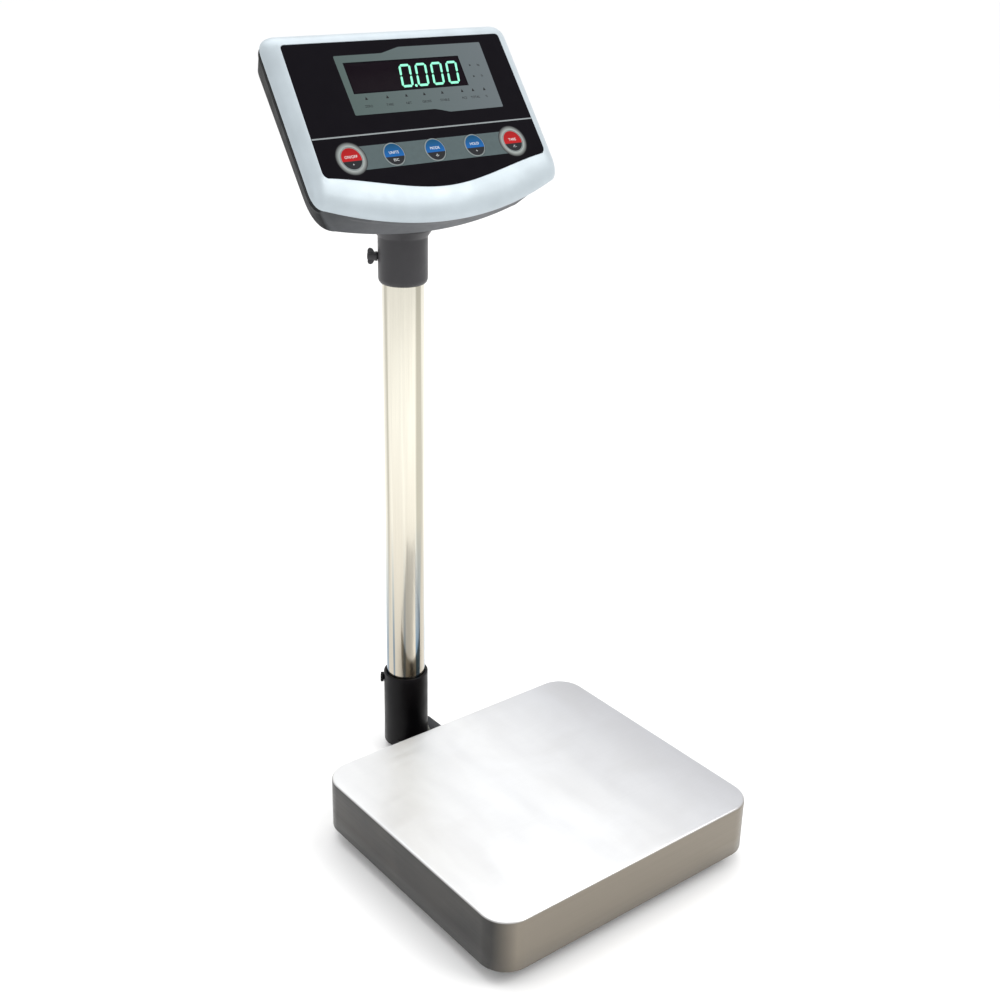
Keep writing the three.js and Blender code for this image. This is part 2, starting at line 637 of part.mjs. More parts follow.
// The bracket on the back of the case: a plate and two ears around the tongue.
function tiltBracket(pivot) {
  const near = TILT.tongueHalf + 2 * GAP;
  const far = near + TILT.earThickness;
  const plateRear = SHELL.rear - GAP - 3;
  const plate = block(-26, 26, pivot.v - 30, pivot.v + 30, plateRear, SHELL.rear - GAP);
  const ears = [-1, 1].flatMap((side) => {
    const [x0, x1] = side < 0 ? [-far, -near] : [near, far];
    return [
      block(x0, x1, pivot.v - TILT.radius, pivot.v + TILT.radius, pivot.w, plateRear + 1),
      crossRod(TILT.radius, x0, x1, pivot.v, pivot.w, 24),
    ];
  });
  return cut(join(plate, ...ears), crossRod(TILT.pinRadius + GAP, -far - 1, far + 1, pivot.v, pivot.w));
}

function tiltPin(pivot) {
  const end = TILT.tongueHalf + 3 * GAP + TILT.earThickness;
  return join(
    crossRod(TILT.pinRadius, -end - 1, end + 1, pivot.v, pivot.w),
    crossRod(7, -end - 5, -end, pivot.v, pivot.w, 16),
    crossRod(7, end, end + 5, pivot.v, pivot.w, 6),
  );
}

// The tilt axis crosses the column's axis; here it is in the indicator's own coordinates.
function pivotOnFace() {
  const tilt = THREE.MathUtils.degToRad(FACE.tiltBack);
  const back = COLUMN.y - FACE.y;
  const up = TILT.height - FACE.height;
  return {
    v: back * Math.sin(tilt) + up * Math.cos(tilt),
    w: -back * Math.cos(tilt) + up * Math.sin(tilt),
  };
}

const pivot = pivotOnFace();
add("front_shell", frontShell(), silverPlastic, indicator);
add("back_shell", backShell(), greyPlastic, indicator);
add("front_panel", frontPanel(), panelFilm, indicator);
add("display_window", displayWindow(), smokedWindow, indicator);
add("led_display", block(-56, 56, -50, -15, -11.5, -SHELL.frontWall - GAP), displayGrey, indicator);
add("main_board", block(-96, 96, -78, -4, -13.6, -12), boardGreen, indicator);
add("keypad_board", block(-98, 98, -112, -90, -5.4, -3.8), boardGreen, indicator);
add("battery", block(-45, 45, -66, -20, -41, -17), greyPlastic, indicator);
keyPositions().forEach((u, i) => {
  const color = i === 0 || i === 4 ? redKey : blueKey;
  add(`key_${i + 1}`, key().translate(u, KEY.v, 0), color, indicator);
});
add("power_inlet", powerInlet(), blackGloss, indicator);
add("power_switch_bezel", switchBezel(), blackGloss, indicator);
add("power_rocker", powerRocker(), redKey, indicator);
add("tilt_bracket", tiltBracket(pivot), framePaint, indicator);
add("tilt_pin", tiltPin(pivot), zinc, indicator);
scale.add(indicator);

// The finished part stands on its feet with its origin under the middle of its bounding box.
const bounds = new THREE.Box3().setFromObject(scale, true);
scale.position.y = -(bounds.min.y + bounds.max.y) / 2;

export default scale;
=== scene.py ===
import json
import math

import bmesh
import bpy
from mathutils import Matrix, Vector


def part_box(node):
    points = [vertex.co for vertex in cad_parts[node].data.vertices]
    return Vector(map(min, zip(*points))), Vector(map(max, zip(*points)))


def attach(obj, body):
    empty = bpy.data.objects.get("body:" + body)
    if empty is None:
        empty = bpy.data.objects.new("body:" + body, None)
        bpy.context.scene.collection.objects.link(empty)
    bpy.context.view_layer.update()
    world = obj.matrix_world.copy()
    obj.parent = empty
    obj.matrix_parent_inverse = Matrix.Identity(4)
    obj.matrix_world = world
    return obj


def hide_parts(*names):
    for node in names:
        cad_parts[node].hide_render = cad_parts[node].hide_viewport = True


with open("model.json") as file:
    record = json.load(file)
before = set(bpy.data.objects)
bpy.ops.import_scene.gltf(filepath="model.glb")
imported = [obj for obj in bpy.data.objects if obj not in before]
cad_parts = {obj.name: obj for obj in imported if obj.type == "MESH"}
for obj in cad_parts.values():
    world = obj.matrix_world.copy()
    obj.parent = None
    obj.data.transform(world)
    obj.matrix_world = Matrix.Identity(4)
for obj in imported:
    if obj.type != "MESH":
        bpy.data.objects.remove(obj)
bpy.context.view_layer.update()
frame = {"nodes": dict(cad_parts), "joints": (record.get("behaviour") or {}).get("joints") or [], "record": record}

MM = 0.001
NODES = frame["nodes"]
TAU = 2 * math.pi

# ---- sizes that the frame's boxes don't say, in millimetres ----

SHEET = 1.2
PAN_CORNER = 26.0
PAN_BEND = 2.6
FILM = 0.5
INK = 0.03
SEAM = -12.0
CASE_REAR = -45.0
# A shoulder of 2/3 makes the bowed lower edge a parabola; less keeps its ends flatter.
OUTER_EDGE = dict(
    half_top=123, half_bottom=125, top=12.4, side=-121, corner_v=-137.6, corner_inset=9,
    bottom=-160, top_corner=16, shoulder=2 / 3,
)
PANEL_EDGE = dict(
    half_top=109.4, half_bottom=112.6, top=0, side=-109, corner_v=-115, corner_inset=3.5,
    bottom=-133.4, top_corner=4, shoulder=0.27,
)
REAR_EDGE = dict(
    half_top=110.5, half_bottom=110.5, top=11, side=-112, corner_v=-143, corner_inset=18.5,
    bottom=-154.5, top_corner=14, shoulder=2 / 3,
)
WINDOW = dict(half=57.6, top=-19, bottom=-45.8)
KEY_RADIUS = 10.15
KEY_PITCH = 41.1
KEY_V = -101.3
KEY_PROUD = 0.25
SWITCH = (66, -112)
SWITCH_HALF = (10, 7)


def joint(name):
    return next(j for j in frame["joints"] if j["name"] == name)


def face_matrix():
    """Carries panel coordinates (u right, v up the face, w out of it, in metres) into the row frame."""
    outward = -Vector(joint("key_1_press")["axis"])
    right = Vector((1, 0, 0))
    up = outward.cross(right)
    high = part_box("front_panel")[1]
    origin = Vector((0, high.y + FILM * MM * outward.y, high.z))
    matrix = Matrix((right, up, outward)).transposed().to_4x4()
    matrix.translation = origin
    return matrix


FACE = face_matrix()
COLUMN_AXIS = Vector(joint("head_swivel")["pos_m"])
SCREW_SIDE = Vector(joint("clamp_turn")["axis"])  # from the column outwards, along both of its screws


def middle(node):
    low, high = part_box(node)
    return (low + high) / 2


# ---- materials ----


def srgb(red, green, blue):
    """A colour given as 0-255 display values, in scene-linear terms."""
    channels = [c / 255 for c in (red, green, blue)]
    return tuple(c / 12.92 if c <= 0.04045 else ((c + 0.055) / 1.055) ** 2.4 for c in channels) + (1.0,)


class Shader:
    """A Principled material with short calls for the nodes that feed it."""

    def __init__(self, name, color, roughness, metallic=0.0, **constants):
        self.material = bpy.data.materials.new(name)
        self.material.use_nodes = True
        self.tree = self.material.node_tree
        self.bsdf = self.tree.nodes["Principled BSDF"]
        self.bsdf.inputs["Base Color"].default_value = color
        self.bsdf.inputs["Roughness"].default_value = roughness
        self.bsdf.inputs["Metallic"].default_value = metallic
        for key, value in constants.items():
            self.bsdf.inputs[key.replace("_", " ")].default_value = value
        self.coordinates = self.tree.nodes.new("ShaderNodeTexCoord").outputs["Object"]

    def link(self, source, target):
        self.tree.links.new(source, target)

    def stretched(self, scale):
        mapping = self.tree.nodes.new("ShaderNodeMapping")
        mapping.inputs["Scale"].default_value = scale
        self.link(self.coordinates, mapping.inputs["Vector"])
        return mapping.outputs["Vector"]

    def noise(self, scale, detail=3.0, stretch=None, distortion=0.0):
        node = self.tree.nodes.new("ShaderNodeTexNoise")
        node.inputs["Scale"].default_value = scale
        node.inputs["Detail"].default_value = detail
        node.inputs["Distortion"].default_value = distortion
        self.link(self.stretched(stretch) if stretch else self.coordinates, node.inputs["Vector"])
        return node.outputs["Fac"]

    def remap(self, value, low, high, start=0.3, end=0.7):
        node = self.tree.nodes.new("ShaderNodeMapRange")
        node.inputs["From Min"].default_value = start
        node.inputs["From Max"].default_value = end
        node.inputs["To Min"].default_value = low
        node.inputs["To Max"].default_value = high
        self.link(value, node.inputs["Value"])
        return node.outputs["Result"]

    def mix(self, factor, first, second):
        node = self.tree.nodes.new("ShaderNodeMix")
        node.data_type = "RGBA"
        self.link(factor, node.inputs["Factor"])
        for index, value in ((6, first), (7, second)):
            if isinstance(value, tuple):
                node.inputs[index].default_value = value
            else:
                self.link(value, node.inputs[index])
        return node.outputs[2]

    def color(self, value):
        self.link(value, self.bsdf.inputs["Base Color"])

    def roughness(self, value):
        self.link(value, self.bsdf.inputs["Roughness"])

    def bump(self, height, strength, distance):
        node = self.tree.nodes.new("ShaderNodeBump")
        node.inputs["Strength"].default_value = strength
        node.inputs["Distance"].default_value = distance
        self.link(height, node.inputs["Height"])
        self.link(node.outputs["Normal"], self.bsdf.inputs["Normal"])


def shade(color, factor):
    return tuple(c * factor for c in color[:3]) + (1.0,)


def moulded_plastic(name, color, roughness, grain=2600, depth=0.00002, **constants):
    """Moulded or painted plastic: fine grain, faint cloudiness and a roughness that wanders."""
    shader = Shader(name, color, roughness, **constants)
    shader.color(shader.mix(shader.remap(shader.noise(38), 0, 1), shade(color, 0.94), shade(color, 1.05)))
    shader.roughness(shader.remap(shader.noise(90, 4), roughness - 0.05, roughness + 0.06))
    shader.bump(shader.noise(grain, 2), 0.25, depth)
    return shader.material


def painted_metal(name, color, roughness):
    """Sprayed paint: slight orange peel and a few dull patches."""
    shader = Shader(name, color, roughness, Specular_IOR_Level=0.15)
    shader.color(shader.mix(shader.remap(shader.noise(26), 0, 1), color, shade(color, 1.5)))
    shader.roughness(shader.remap(shader.noise(60, 5), roughness - 0.04, roughness + 0.12))
    shader.bump(shader.noise(420, 2), 0.2, 0.00004)
    return shader.material


def brushed_metal(name, color, roughness, stretch, grain=240):
    """Metal with a grain along the axis whose stretch is small."""
    shader = Shader(name, color, roughness, metallic=1.0)
    lines = shader.noise(grain, 5, stretch=stretch)
    shader.color(shader.mix(shader.remap(lines, 0, 1), shade(color, 0.9), shade(color, 1.06)))
    shader.roughness(shader.remap(lines, roughness - 0.05, roughness + 0.07))
    shader.bump(lines, 0.12, 0.00003)
    return shader.material


def rubber_material():
    shader = Shader("rubber", srgb(34, 34, 36), 0.75)
    shader.color(shader.mix(shader.remap(shader.noise(120, 5), 0, 1), srgb(28, 28, 30), srgb(46, 46, 47)))
    shader.bump(shader.noise(1400, 3), 0.4, 0.00006)
    return shader.material


def zinc_material():
    """Zinc plate with its faint spangle."""
    shader = Shader("zinc", srgb(190, 192, 194), 0.34, metallic=1.0)
    cells = shader.tree.nodes.new("ShaderNodeTexVoronoi")
    cells.inputs["Scale"].default_value = 420
    shader.link(shader.coordinates, cells.inputs["Vector"])
    spangle = shader.remap(cells.outputs["Distance"], 0, 1, 0, 0.8)
    shader.color(shader.mix(spangle, srgb(205, 206, 207), srgb(165, 168, 172)))
    shader.roughness(shader.remap(shader.noise(300, 4), 0.26, 0.42))
    shader.bump(shader.noise(900, 2), 0.15, 0.00003)
    return shader.material


# Pan colours: the lit top, and copies darkened as painted shade for the right of the top, the front and rear
# skirts, and the side skirts.
PAN_STEEL_LIT_AND_SHADED = dict(
    top=srgb(234, 235, 236), right=srgb(188, 189, 193), front=srgb(130, 123, 112), side=srgb(56, 56, 56),
)


def pan_steel_material():
    """Brushed stainless: grain across the top and on the folded skirts; painted shade darkens the top towards its
    right and darkens the skirts, the side skirts most.
    """
    shader = Shader("pan_steel", PAN_STEEL_LIT_AND_SHADED["top"], 0.34, metallic=0.85)
    normal = shader.tree.nodes.new("ShaderNodeTexCoord").outputs["Normal"]
    parts = shader.tree.nodes.new("ShaderNodeSeparateXYZ")
    shader.link(normal, parts.inputs["Vector"])
    lines = shader.noise(170, 6, stretch=(0.06, 6.0, 6.0))
    cross_lines = shader.noise(170, 6, stretch=(6.0, 0.06, 6.0))
    facing_side = shader.tree.nodes.new("ShaderNodeMath")
    facing_side.operation = "ABSOLUTE"
    shader.link(parts.outputs["X"], facing_side.inputs[0])
    # Painted shade: the skirts are darker than the top, and skirts facing along X darker still; the side mask also
    # turns their grain.
    side_shade_and_grain_amount = shader.remap(facing_side.outputs[0], 0, 1, 0.3, 0.9)
    top_and_skirt_shade_amount = shader.remap(parts.outputs["Z"], 0, 1, 0.35, 0.95)
    skirts = shader.mix(side_shade_and_grain_amount, PAN_STEEL_LIT_AND_SHADED["front"], PAN_STEEL_LIT_AND_SHADED["side"])
    place = shader.tree.nodes.new("ShaderNodeSeparateXYZ")
    shader.link(shader.coordinates, place.inputs["Vector"])
    bands = shader.noise(30, 3, stretch=(1.0, 0.25, 1.0))
    # The top darkens towards its right: painted shade.
    across = shader.remap(place.outputs["X"], 0, 1, 0.0, 0.14)
    top = shader.mix(across, PAN_STEEL_LIT_AND_SHADED["top"], PAN_STEEL_LIT_AND_SHADED["right"])
    top = shader.mix(shader.remap(bands, 0, 0.3), top, shade(PAN_STEEL_LIT_AND_SHADED["right"], 1.1))
    base = shader.mix(top_and_skirt_shade_amount, skirts, top)
    grain = shader.mix(side_shade_and_grain_amount, lines, cross_lines)
    cloud = shader.remap(shader.noise(14, 4, distortion=0.6), 0, 1)
    smudged = shader.mix(cloud, base, shade(PAN_STEEL_LIT_AND_SHADED["front"], 1.15))
    blend = shader.tree.nodes.new("ShaderNodeMix")
    blend.data_type = "RGBA"
    blend.inputs["Factor"].default_value = 0.12
    shader.link(base, blend.inputs[6])
    shader.link(smudged, blend.inputs[7])
    shader.color(blend.outputs[2])
    to_value = shader.tree.nodes.new("ShaderNodeRGBToBW")
    shader.link(grain, to_value.inputs["Color"])
    shader.roughness(shader.remap(to_value.outputs["Val"], 0.28, 0.42))
    shader.bump(to_value.outputs["Val"], 0.1, 0.00003)
    return shader.material


def column_steel_material():
    """Polished tube: long draw lines all round, with broader streaks of painted reflection between them, and
    painted reflections near its foot, warm grey with blue-grey patches.
    """
    warm = srgb(226, 222, 208)
    shader = Shader("column_steel", warm, 0.13, metallic=1.0)
    lines = shader.noise(150, 4, stretch=(9.0, 9.0, 0.05))
    base = shader.mix(shader.remap(lines, 0, 1), shade(warm, 0.9), shade(warm, 1.04))
    # Broad darker streaks along the tube: painted reflections.
    streaks = shader.remap(shader.noise(95, 1.5, stretch=(1.6, 1.6, 0.018)), 0, 1, 0.52, 0.66)
    base = shader.mix(streaks, base, srgb(172, 168, 154))
    height = shader.tree.nodes.new("ShaderNodeSeparateXYZ")
    shader.link(shader.coordinates, height.inputs["Vector"])
    # Near the foot the tube is painted with reflections, warm grey and blue-grey in patches chosen by the lower
    # noise.
    dull = shader.mix(shader.remap(height.outputs["Z"], 0, 1, 0.1, 0.36), srgb(186, 178, 163), base)
    lower = shader.remap(shader.noise(70, 1, stretch=(1.4, 1.4, 0.02)), 0, 1, 0.5, 0.56)
    blue_painted_reflection = shader.mix(shader.remap(height.outputs["Z"], 0, 1, 0.12, 0.26), srgb(96, 118, 134), base)
    shader.color(shader.mix(lower, dull, blue_painted_reflection))
    shader.roughness(shader.remap(lines, 0.09, 0.2))
    shader.bump(lines, 0.05, 0.00002)
    return shader.material


def case_grey_material():
    """Textured dark plastic with painted shade on the left flank, darkest high up, and painted light on faces
    turned down, palest underneath.
    """
    shader = Shader("case_grey", srgb(70, 72, 76), 0.6, Specular_IOR_Level=0.12)
    normal = shader.tree.nodes.new("ShaderNodeSeparateXYZ")
    place = shader.tree.nodes.new("ShaderNodeSeparateXYZ")
    shader.link(shader.tree.nodes.new("ShaderNodeTexCoord").outputs["Normal"], normal.inputs["Vector"])
    shader.link(shader.coordinates, place.inputs["Vector"])
    # Painted shade: the left flank is darker, most of all high up.
    height = shader.remap(place.outputs["Z"], 0, 1, 0.56, 0.69)
    flank = shader.mix(height, srgb(20, 22, 25), srgb(3, 4, 5))
    # Painted light: faces turned down are paler, palest straight down.
    upward = shader.remap(normal.outputs["Z"], 0, 1, -0.9, -0.2)
    other = shader.mix(upward, srgb(92, 94, 97), srgb(60, 62, 66))
    base = shader.mix(shader.remap(normal.outputs["X"], 0, 1, -0.5, -0.15), flank, other)
    shader.color(base)
    shader.roughness(shader.remap(shader.noise(90, 4), 0.54, 0.68))
    shader.bump(shader.noise(1500, 2), 0.35, 0.00006)
    return shader.material


def weld_material():
    """Paint over a weld: dark paint with pale patches of painted highlight, laid by noise."""
    shader = Shader("painted_weld", srgb(60, 62, 58), 0.3, metallic=0.3)
    patches = shader.remap(shader.noise(260, 4), 0, 1, 0.42, 0.62)
    # The pale colour is a painted highlight on the weld.
    shader.color(shader.mix(patches, srgb(28, 29, 27), srgb(128, 130, 122)))
    shader.bump(shader.noise(700, 3), 0.5, 0.0002)
    return shader.material


def led_material():
    shader = Shader("led_green", srgb(40, 120, 100), 0.4)
    shader.bsdf.inputs["Emission Color"].default_value = srgb(140, 236, 194)
    shader.bsdf.inputs["Emission Strength"].default_value = 1.0
    return shader.material


def print_material(name, color, spread=0.05):
    """Screen-printed ink on the film: flat, with a faint unevenness."""
    shader = Shader(name, color, 0.5, Specular_IOR_Level=0.15)
    patches = shader.remap(shader.noise(240, 3), 0, 1)
    shader.color(shader.mix(patches, shade(color, 1 - spread), shade(color, 1 + spread)))
    shader.bump(shader.noise(1800, 2), 0.1, 0.00001)
    return shader.material


def window_print_material():
    """The window surround: grey that lightens from left to right."""
    shader = Shader("window_print", srgb(96, 106, 108), 0.5, Specular_IOR_Level=0.15)
    ramp = shader.tree.nodes.new("ShaderNodeSeparateXYZ")
    shader.link(shader.coordinates, ramp.inputs["Vector"])
    across = shader.remap(ramp.outputs["X"], 0, 1, -0.065, 0.086)
    shader.color(shader.mix(across, srgb(66, 81, 79), srgb(84, 92, 96)))
    shader.bump(shader.noise(1800, 2), 0.1, 0.00001)
    return shader.material


def radial_distance(shader):
    flat = shader.stretched((1.0, 1.0, 0.0))
    length = shader.tree.nodes.new("ShaderNodeVectorMath")
    length.operation = "LENGTH"
    shader.link(flat, length.inputs[0])
    return length.outputs["Value"]


def key_material(name, color, light):
    """A printed key: a light ring round a coloured upper and a black lower part."""
    shader = Shader(name, color, 0.4, Specular_IOR_Level=0.08)
    parts = shader.tree.nodes.new("ShaderNodeSeparateXYZ")
    shader.link(shader.coordinates, parts.inputs["Vector"])
    fade = shader.remap(parts.outputs["Y"], 0, 1, -0.002, 0.0075)
    upper = shader.mix(fade, light, color)
    split = shader.remap(parts.outputs["Y"], 0, 1, -0.0023, -0.0019)
    body = shader.mix(split, srgb(26, 27, 31), upper)
    ring = shader.remap(radial_distance(shader), 0, 1, 0.0092, 0.0095)
    shader.color(shader.mix(ring, body, srgb(126, 134, 134)))
    shader.bump(shader.noise(1800, 2), 0.1, 0.00001)
    return shader.material


def halo_material():
    """The pale ring printed round the two outer keys, fading into the film."""
    shader = Shader("key_halo", srgb(150, 156, 155), 0.5, Specular_IOR_Level=0.15)
    fade = shader.remap(radial_distance(shader), 0, 1, 0.0104, 0.0143)
    shader.color(shader.mix(fade, srgb(148, 154, 152), srgb(13, 11, 16)))
    shader.bump(shader.noise(1800, 2), 0.1, 0.00001)
    return shader.material


def circuit_board_material():
    shader = Shader("circuit_board", srgb(24, 92, 52), 0.4)
    shader.color(shader.mix(shader.remap(shader.noise(400, 2), 0, 1), srgb(18, 78, 42), srgb(34, 108, 62)))
    return shader.material


SILVER = srgb(172, 182, 188)
MATERIALS = {
    "stainless": pan_steel_material(),
    "polished_stainless": column_steel_material(),
    "black_gloss": painted_metal("socket_paint", srgb(4, 3, 5), 0.34),
    "frame_paint": painted_metal("frame_paint", srgb(36, 37, 40), 0.4),
    "zinc": zinc_material(),
    "aluminium": brushed_metal("aluminium", srgb(200, 202, 205), 0.36, (0.2, 4.0, 4.0)),
    "rubber": rubber_material(),
    "cable_sheath": moulded_plastic("cable_sheath", srgb(30, 30, 32), 0.5),
    "dark_plastic": moulded_plastic("collar_plastic", srgb(44, 43, 46), 0.42, Specular_IOR_Level=0.4),
    "silver_plastic": moulded_plastic("silver_plastic", SILVER, 0.36, metallic=0.25, Specular_IOR_Level=0.4),
    "grey_plastic": case_grey_material(),
    "panel_film": moulded_plastic(
        "panel_film", srgb(13, 11, 16), 0.5, grain=2200, Specular_IOR_Level=0.02),
    "smoked_window": moulded_plastic(
        "smoked_window", srgb(16, 9, 16), 0.3, depth=0.000002, Specular_IOR_Level=0.02),
    "circuit_board": circuit_board_material(),
    "red_key": key_material("red_key", srgb(144, 6, 12), srgb(160, 14, 20)),
    "blue_key": key_material("blue_key", srgb(3, 66, 100), srgb(10, 84, 150)),
}
LED = led_material()
LIGHT_PRINT = print_material("light_print", srgb(200, 204, 206))
GREY_PRINT = print_material("grey_print", srgb(69, 82, 84))
DARK_PRINT = print_material("dark_print", srgb(12, 12, 15))
DIVIDER_PRINT = print_material("divider_print", srgb(128, 134, 136))
WELD = weld_material()
WINDOW_PRINT = window_print_material()
HALO = halo_material()
# Near-black for the cross recesses of the case screws: painted shade in a recess.
RECESS_PAINTED_SHADE = print_material("screw_recess_painted_shade", srgb(18, 18, 20))

for part in frame["record"]["subparts"]:
    mesh = NODES[part["node"]].data
    mesh.materials.clear()
    mesh.materials.append(MATERIALS[part["material_slot"]])


# ---- mesh helpers ----


def finish_mesh(name, mesh, material, angle=35):
    for polygon in mesh.polygons:
        polygon.use_smooth = True
    mesh.set_sharp_from_angle(angle=math.radians(angle))
    mesh.materials.clear()
    mesh.materials.append(material)
    piece = bpy.data.objects.new(name, mesh)
    bpy.context.scene.collection.objects.link(piece)
    return piece


def from_bmesh(name, bm, material, angle=35):
    bmesh.ops.recalc_face_normals(bm, faces=bm.faces)
    mesh = bpy.data.meshes.new(name)
    bm.to_mesh(mesh)
    bm.free()
    return finish_mesh(name, mesh, material, angle)


def round_corners(points, radius, steps=4, closed=False):
    """Replaces each corner of a 2D line by a short curve that starts radius before it."""
    count = len(points)
    result = []
    for i, point in enumerate(points):
        if not closed and i in (0, count - 1):
            result.append(tuple(point))
            continue
        here = Vector(point)
        before = Vector(points[i - 1]) - here
        after = Vector(points[(i + 1) % count]) - here
        start = here + before.normalized() * min(radius, before.length * 0.45)
        end = here + after.normalized() * min(radius, after.length * 0.45)
        for step in range(steps + 1):
            t = step / steps
            result.append(tuple((1 - t) ** 2 * start + 2 * t * (1 - t) * here + t * t * end))
    return result


def skin(name, rings, material, angle=35):
    """A closed skin over rings of equal length, capped at both ends."""
    bm = bmesh.new()
    loops = [[bm.verts.new(point) for point in ring] for ring in rings]
    count = len(loops[0])
    for lower, upper in zip(loops, loops[1:]):
        for i in range(count):
            j = (i + 1) % count
            bm.faces.new((lower[i], lower[j], upper[j], upper[i]))
    bm.faces.new(list(reversed(loops[0])))
    bm.faces.new(loops[-1])
    return from_bmesh(name, bm, material, angle)


def turned(name, profile, material, sides=96, angle=35, closed=False):
    """A solid of revolution about Z from (radius, height) pairs in millimetres; radius 0 is the axis."""
    bm = bmesh.new()
    loops = []
    for radius, height in profile:
        if radius < 1e-6:
            loops.append([bm.verts.new((0, 0, height * MM))])
            continue
        ring = []
        for i in range(sides):
            turn = TAU * i / sides
            x, y = radius * MM * math.cos(turn), radius * MM * math.sin(turn)
            ring.append(bm.verts.new((x, y, height * MM)))
        loops.append(ring)
    pairs = list(zip(loops, loops[1:]))
    if closed:
        pairs.append((loops[-1], loops[0]))
    for lower, upper in pairs:
        for i in range(sides):
            j = (i + 1) % sides
            below, above = len(lower), len(upper)
            corners = [lower[i % below], lower[j % below], upper[j % above], upper[i % above]]
            unique = list(dict.fromkeys(corners))
            if len(unique) > 2:
                bm.faces.new(unique)
    return from_bmesh(name, bm, material, angle)


def bent_bar(name, outline, low, high, material, bevel=0.4, angle=35):
    """A flat outline in millimetres extruded from low to high along Z, with rounded edges."""
    bm = bmesh.new()
    base = [bm.verts.new((x * MM, y * MM, low * MM)) for x, y in outline]
    face = bm.faces.new(base)
    result = bmesh.ops.extrude_face_region(bm, geom=[face])
    lifted = [v for v in result["geom"] if isinstance(v, bmesh.types.BMVert)]
    bmesh.ops.translate(bm, verts=lifted, vec=(0, 0, (high - low) * MM))
    if bevel:
        sharp = [e for e in bm.edges if len(e.link_faces) == 2 and e.calc_face_angle() > math.radians(40)]
        bmesh.ops.bevel(bm, geom=sharp, offset=bevel * MM, segments=3, affect="EDGES", profile=0.5)
    return from_bmesh(name, bm, material, angle)


def carve(piece, cutters):
    """Subtracts the cutters, which are then removed."""
    for cutter in cutters:
        modifier = piece.modifiers.new("cut", "BOOLEAN")
        modifier.object = cutter
        modifier.operation = "DIFFERENCE"
        modifier.solver = "EXACT"
    graph = bpy.context.evaluated_depsgraph_get()
    mesh = bpy.data.meshes.new_from_object(piece.evaluated_get(graph))
    piece.modifiers.clear()
    material = piece.data.materials[0]
    piece.data = mesh
    mesh.set_sharp_from_angle(angle=math.radians(30))
    mesh.materials.clear()
    mesh.materials.append(material)
    for cutter in cutters:
        bpy.data.objects.remove(cutter)
    return piece


def settle(piece, body, replaces=(), matrix=None):
    if matrix is not None:
        piece.matrix_world = matrix
    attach(piece, body)
    if replaces:
        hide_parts(*replaces)
    return piece


def rectangle(x0, x1, y0, y1):
    return [(x0, y0), (x1, y0), (x1, y1), (x0, y1)]


def arc(x, y, radius, start, end, steps):
    """Points on an arc, angles in degrees."""
    turns = [math.radians(start + (end - start) * i / steps) for i in range(steps + 1)]
    return [(x + radius * math.cos(t), y + radius * math.sin(t)) for t in turns]


def circle(x, y, radius, steps=48):
    return arc(x, y, radius, 0, 360, steps)[:-1]


def mesh_of_curve(name, curve, material):
    """A mesh object with the shape of a curve or text block."""
    holder = bpy.data.objects.new(name + "_outline", curve)
    bpy.context.scene.collection.objects.link(holder)
    graph = bpy.context.evaluated_depsgraph_get()
    mesh = bpy.data.meshes.new_from_object(holder.evaluated_get(graph))
    bpy.data.objects.remove(holder)
    mesh.materials.clear()
    mesh.materials.append(material)
    piece = bpy.data.objects.new(name, mesh)
    bpy.context.scene.collection.objects.link(piece)
    return piece


def flat_print(name, outlines, material, body, matrix, height=0.0, thickness=INK):
    """Flat ink or film, height to height + thickness, from outlines in millimetres; inner ones are holes."""
    curve = bpy.data.curves.new(name, "CURVE")
    curve.dimensions = "2D"
    curve.fill_mode = "BOTH"
    curve.extrude = thickness / 2 * MM
    for outline in outlines:
        spline = curve.splines.new("POLY")
        spline.points.add(len(outline) - 1)
        for point, (x, y) in zip(spline.points, outline):
            point.co = (x * MM, y * MM, 0, 1)
        spline.use_cyclic_u = True
    place = Matrix.Translation((0, 0, (height + thickness / 2) * MM))
    return settle(mesh_of_curve(name, curve, material), body, matrix=matrix @ place)


def legend(name, words, size, x, y, material, body, matrix, height=0.0):
    """Small printed words, centred at x, y in millimetres."""
    text = bpy.data.curves.new(name, "FONT")
    text.body = words
    text.size = size * MM
    text.align_x = "CENTER"
    text.align_y = "CENTER"
    text.extrude = INK / 2 * MM
    text.resolution_u = 3
    place = Matrix.Translation((x * MM, y * MM, (height + INK / 2) * MM))
    return settle(mesh_of_curve(name, text, material), body, matrix=matrix @ place)


# ---- camera ----

CAMERA_PLACE = Vector((-0.69113, -0.86394, 0.80952))
CAMERA_AZIMUTH = math.radians(-38.691)
CAMERA_ELEVATION = math.radians(23.715)
CAMERA_ROLL = math.radians(1.304)


def make_camera():
    back = Vector((
        math.sin(CAMERA_AZIMUTH) * math.cos(CAMERA_ELEVATION),
        -math.cos(CAMERA_AZIMUTH) * math.cos(CAMERA_ELEVATION),
        math.sin(CAMERA_ELEVATION),
    ))
    right = Vector((math.cos(CAMERA_AZIMUTH), math.sin(CAMERA_AZIMUTH), 0))
    up = back.cross(right)
    rolled_right = right * math.cos(CAMERA_ROLL) + up * math.sin(CAMERA_ROLL)
    rolled_up = up * math.cos(CAMERA_ROLL) - right * math.sin(CAMERA_ROLL)
    data = bpy.data.cameras.new("camera")
    data.sensor_width = 36
    data.lens = 50.38
    camera = bpy.data.objects.new("camera", data)
    matrix = Matrix((rolled_right, rolled_up, back)).transposed().to_4x4()
    matrix.translation = CAMERA_PLACE
    camera.matrix_world = matrix
    bpy.context.scene.collection.objects.link(camera)
    bpy.context.scene.camera = camera


make_camera()


# ---- weighing pan ----


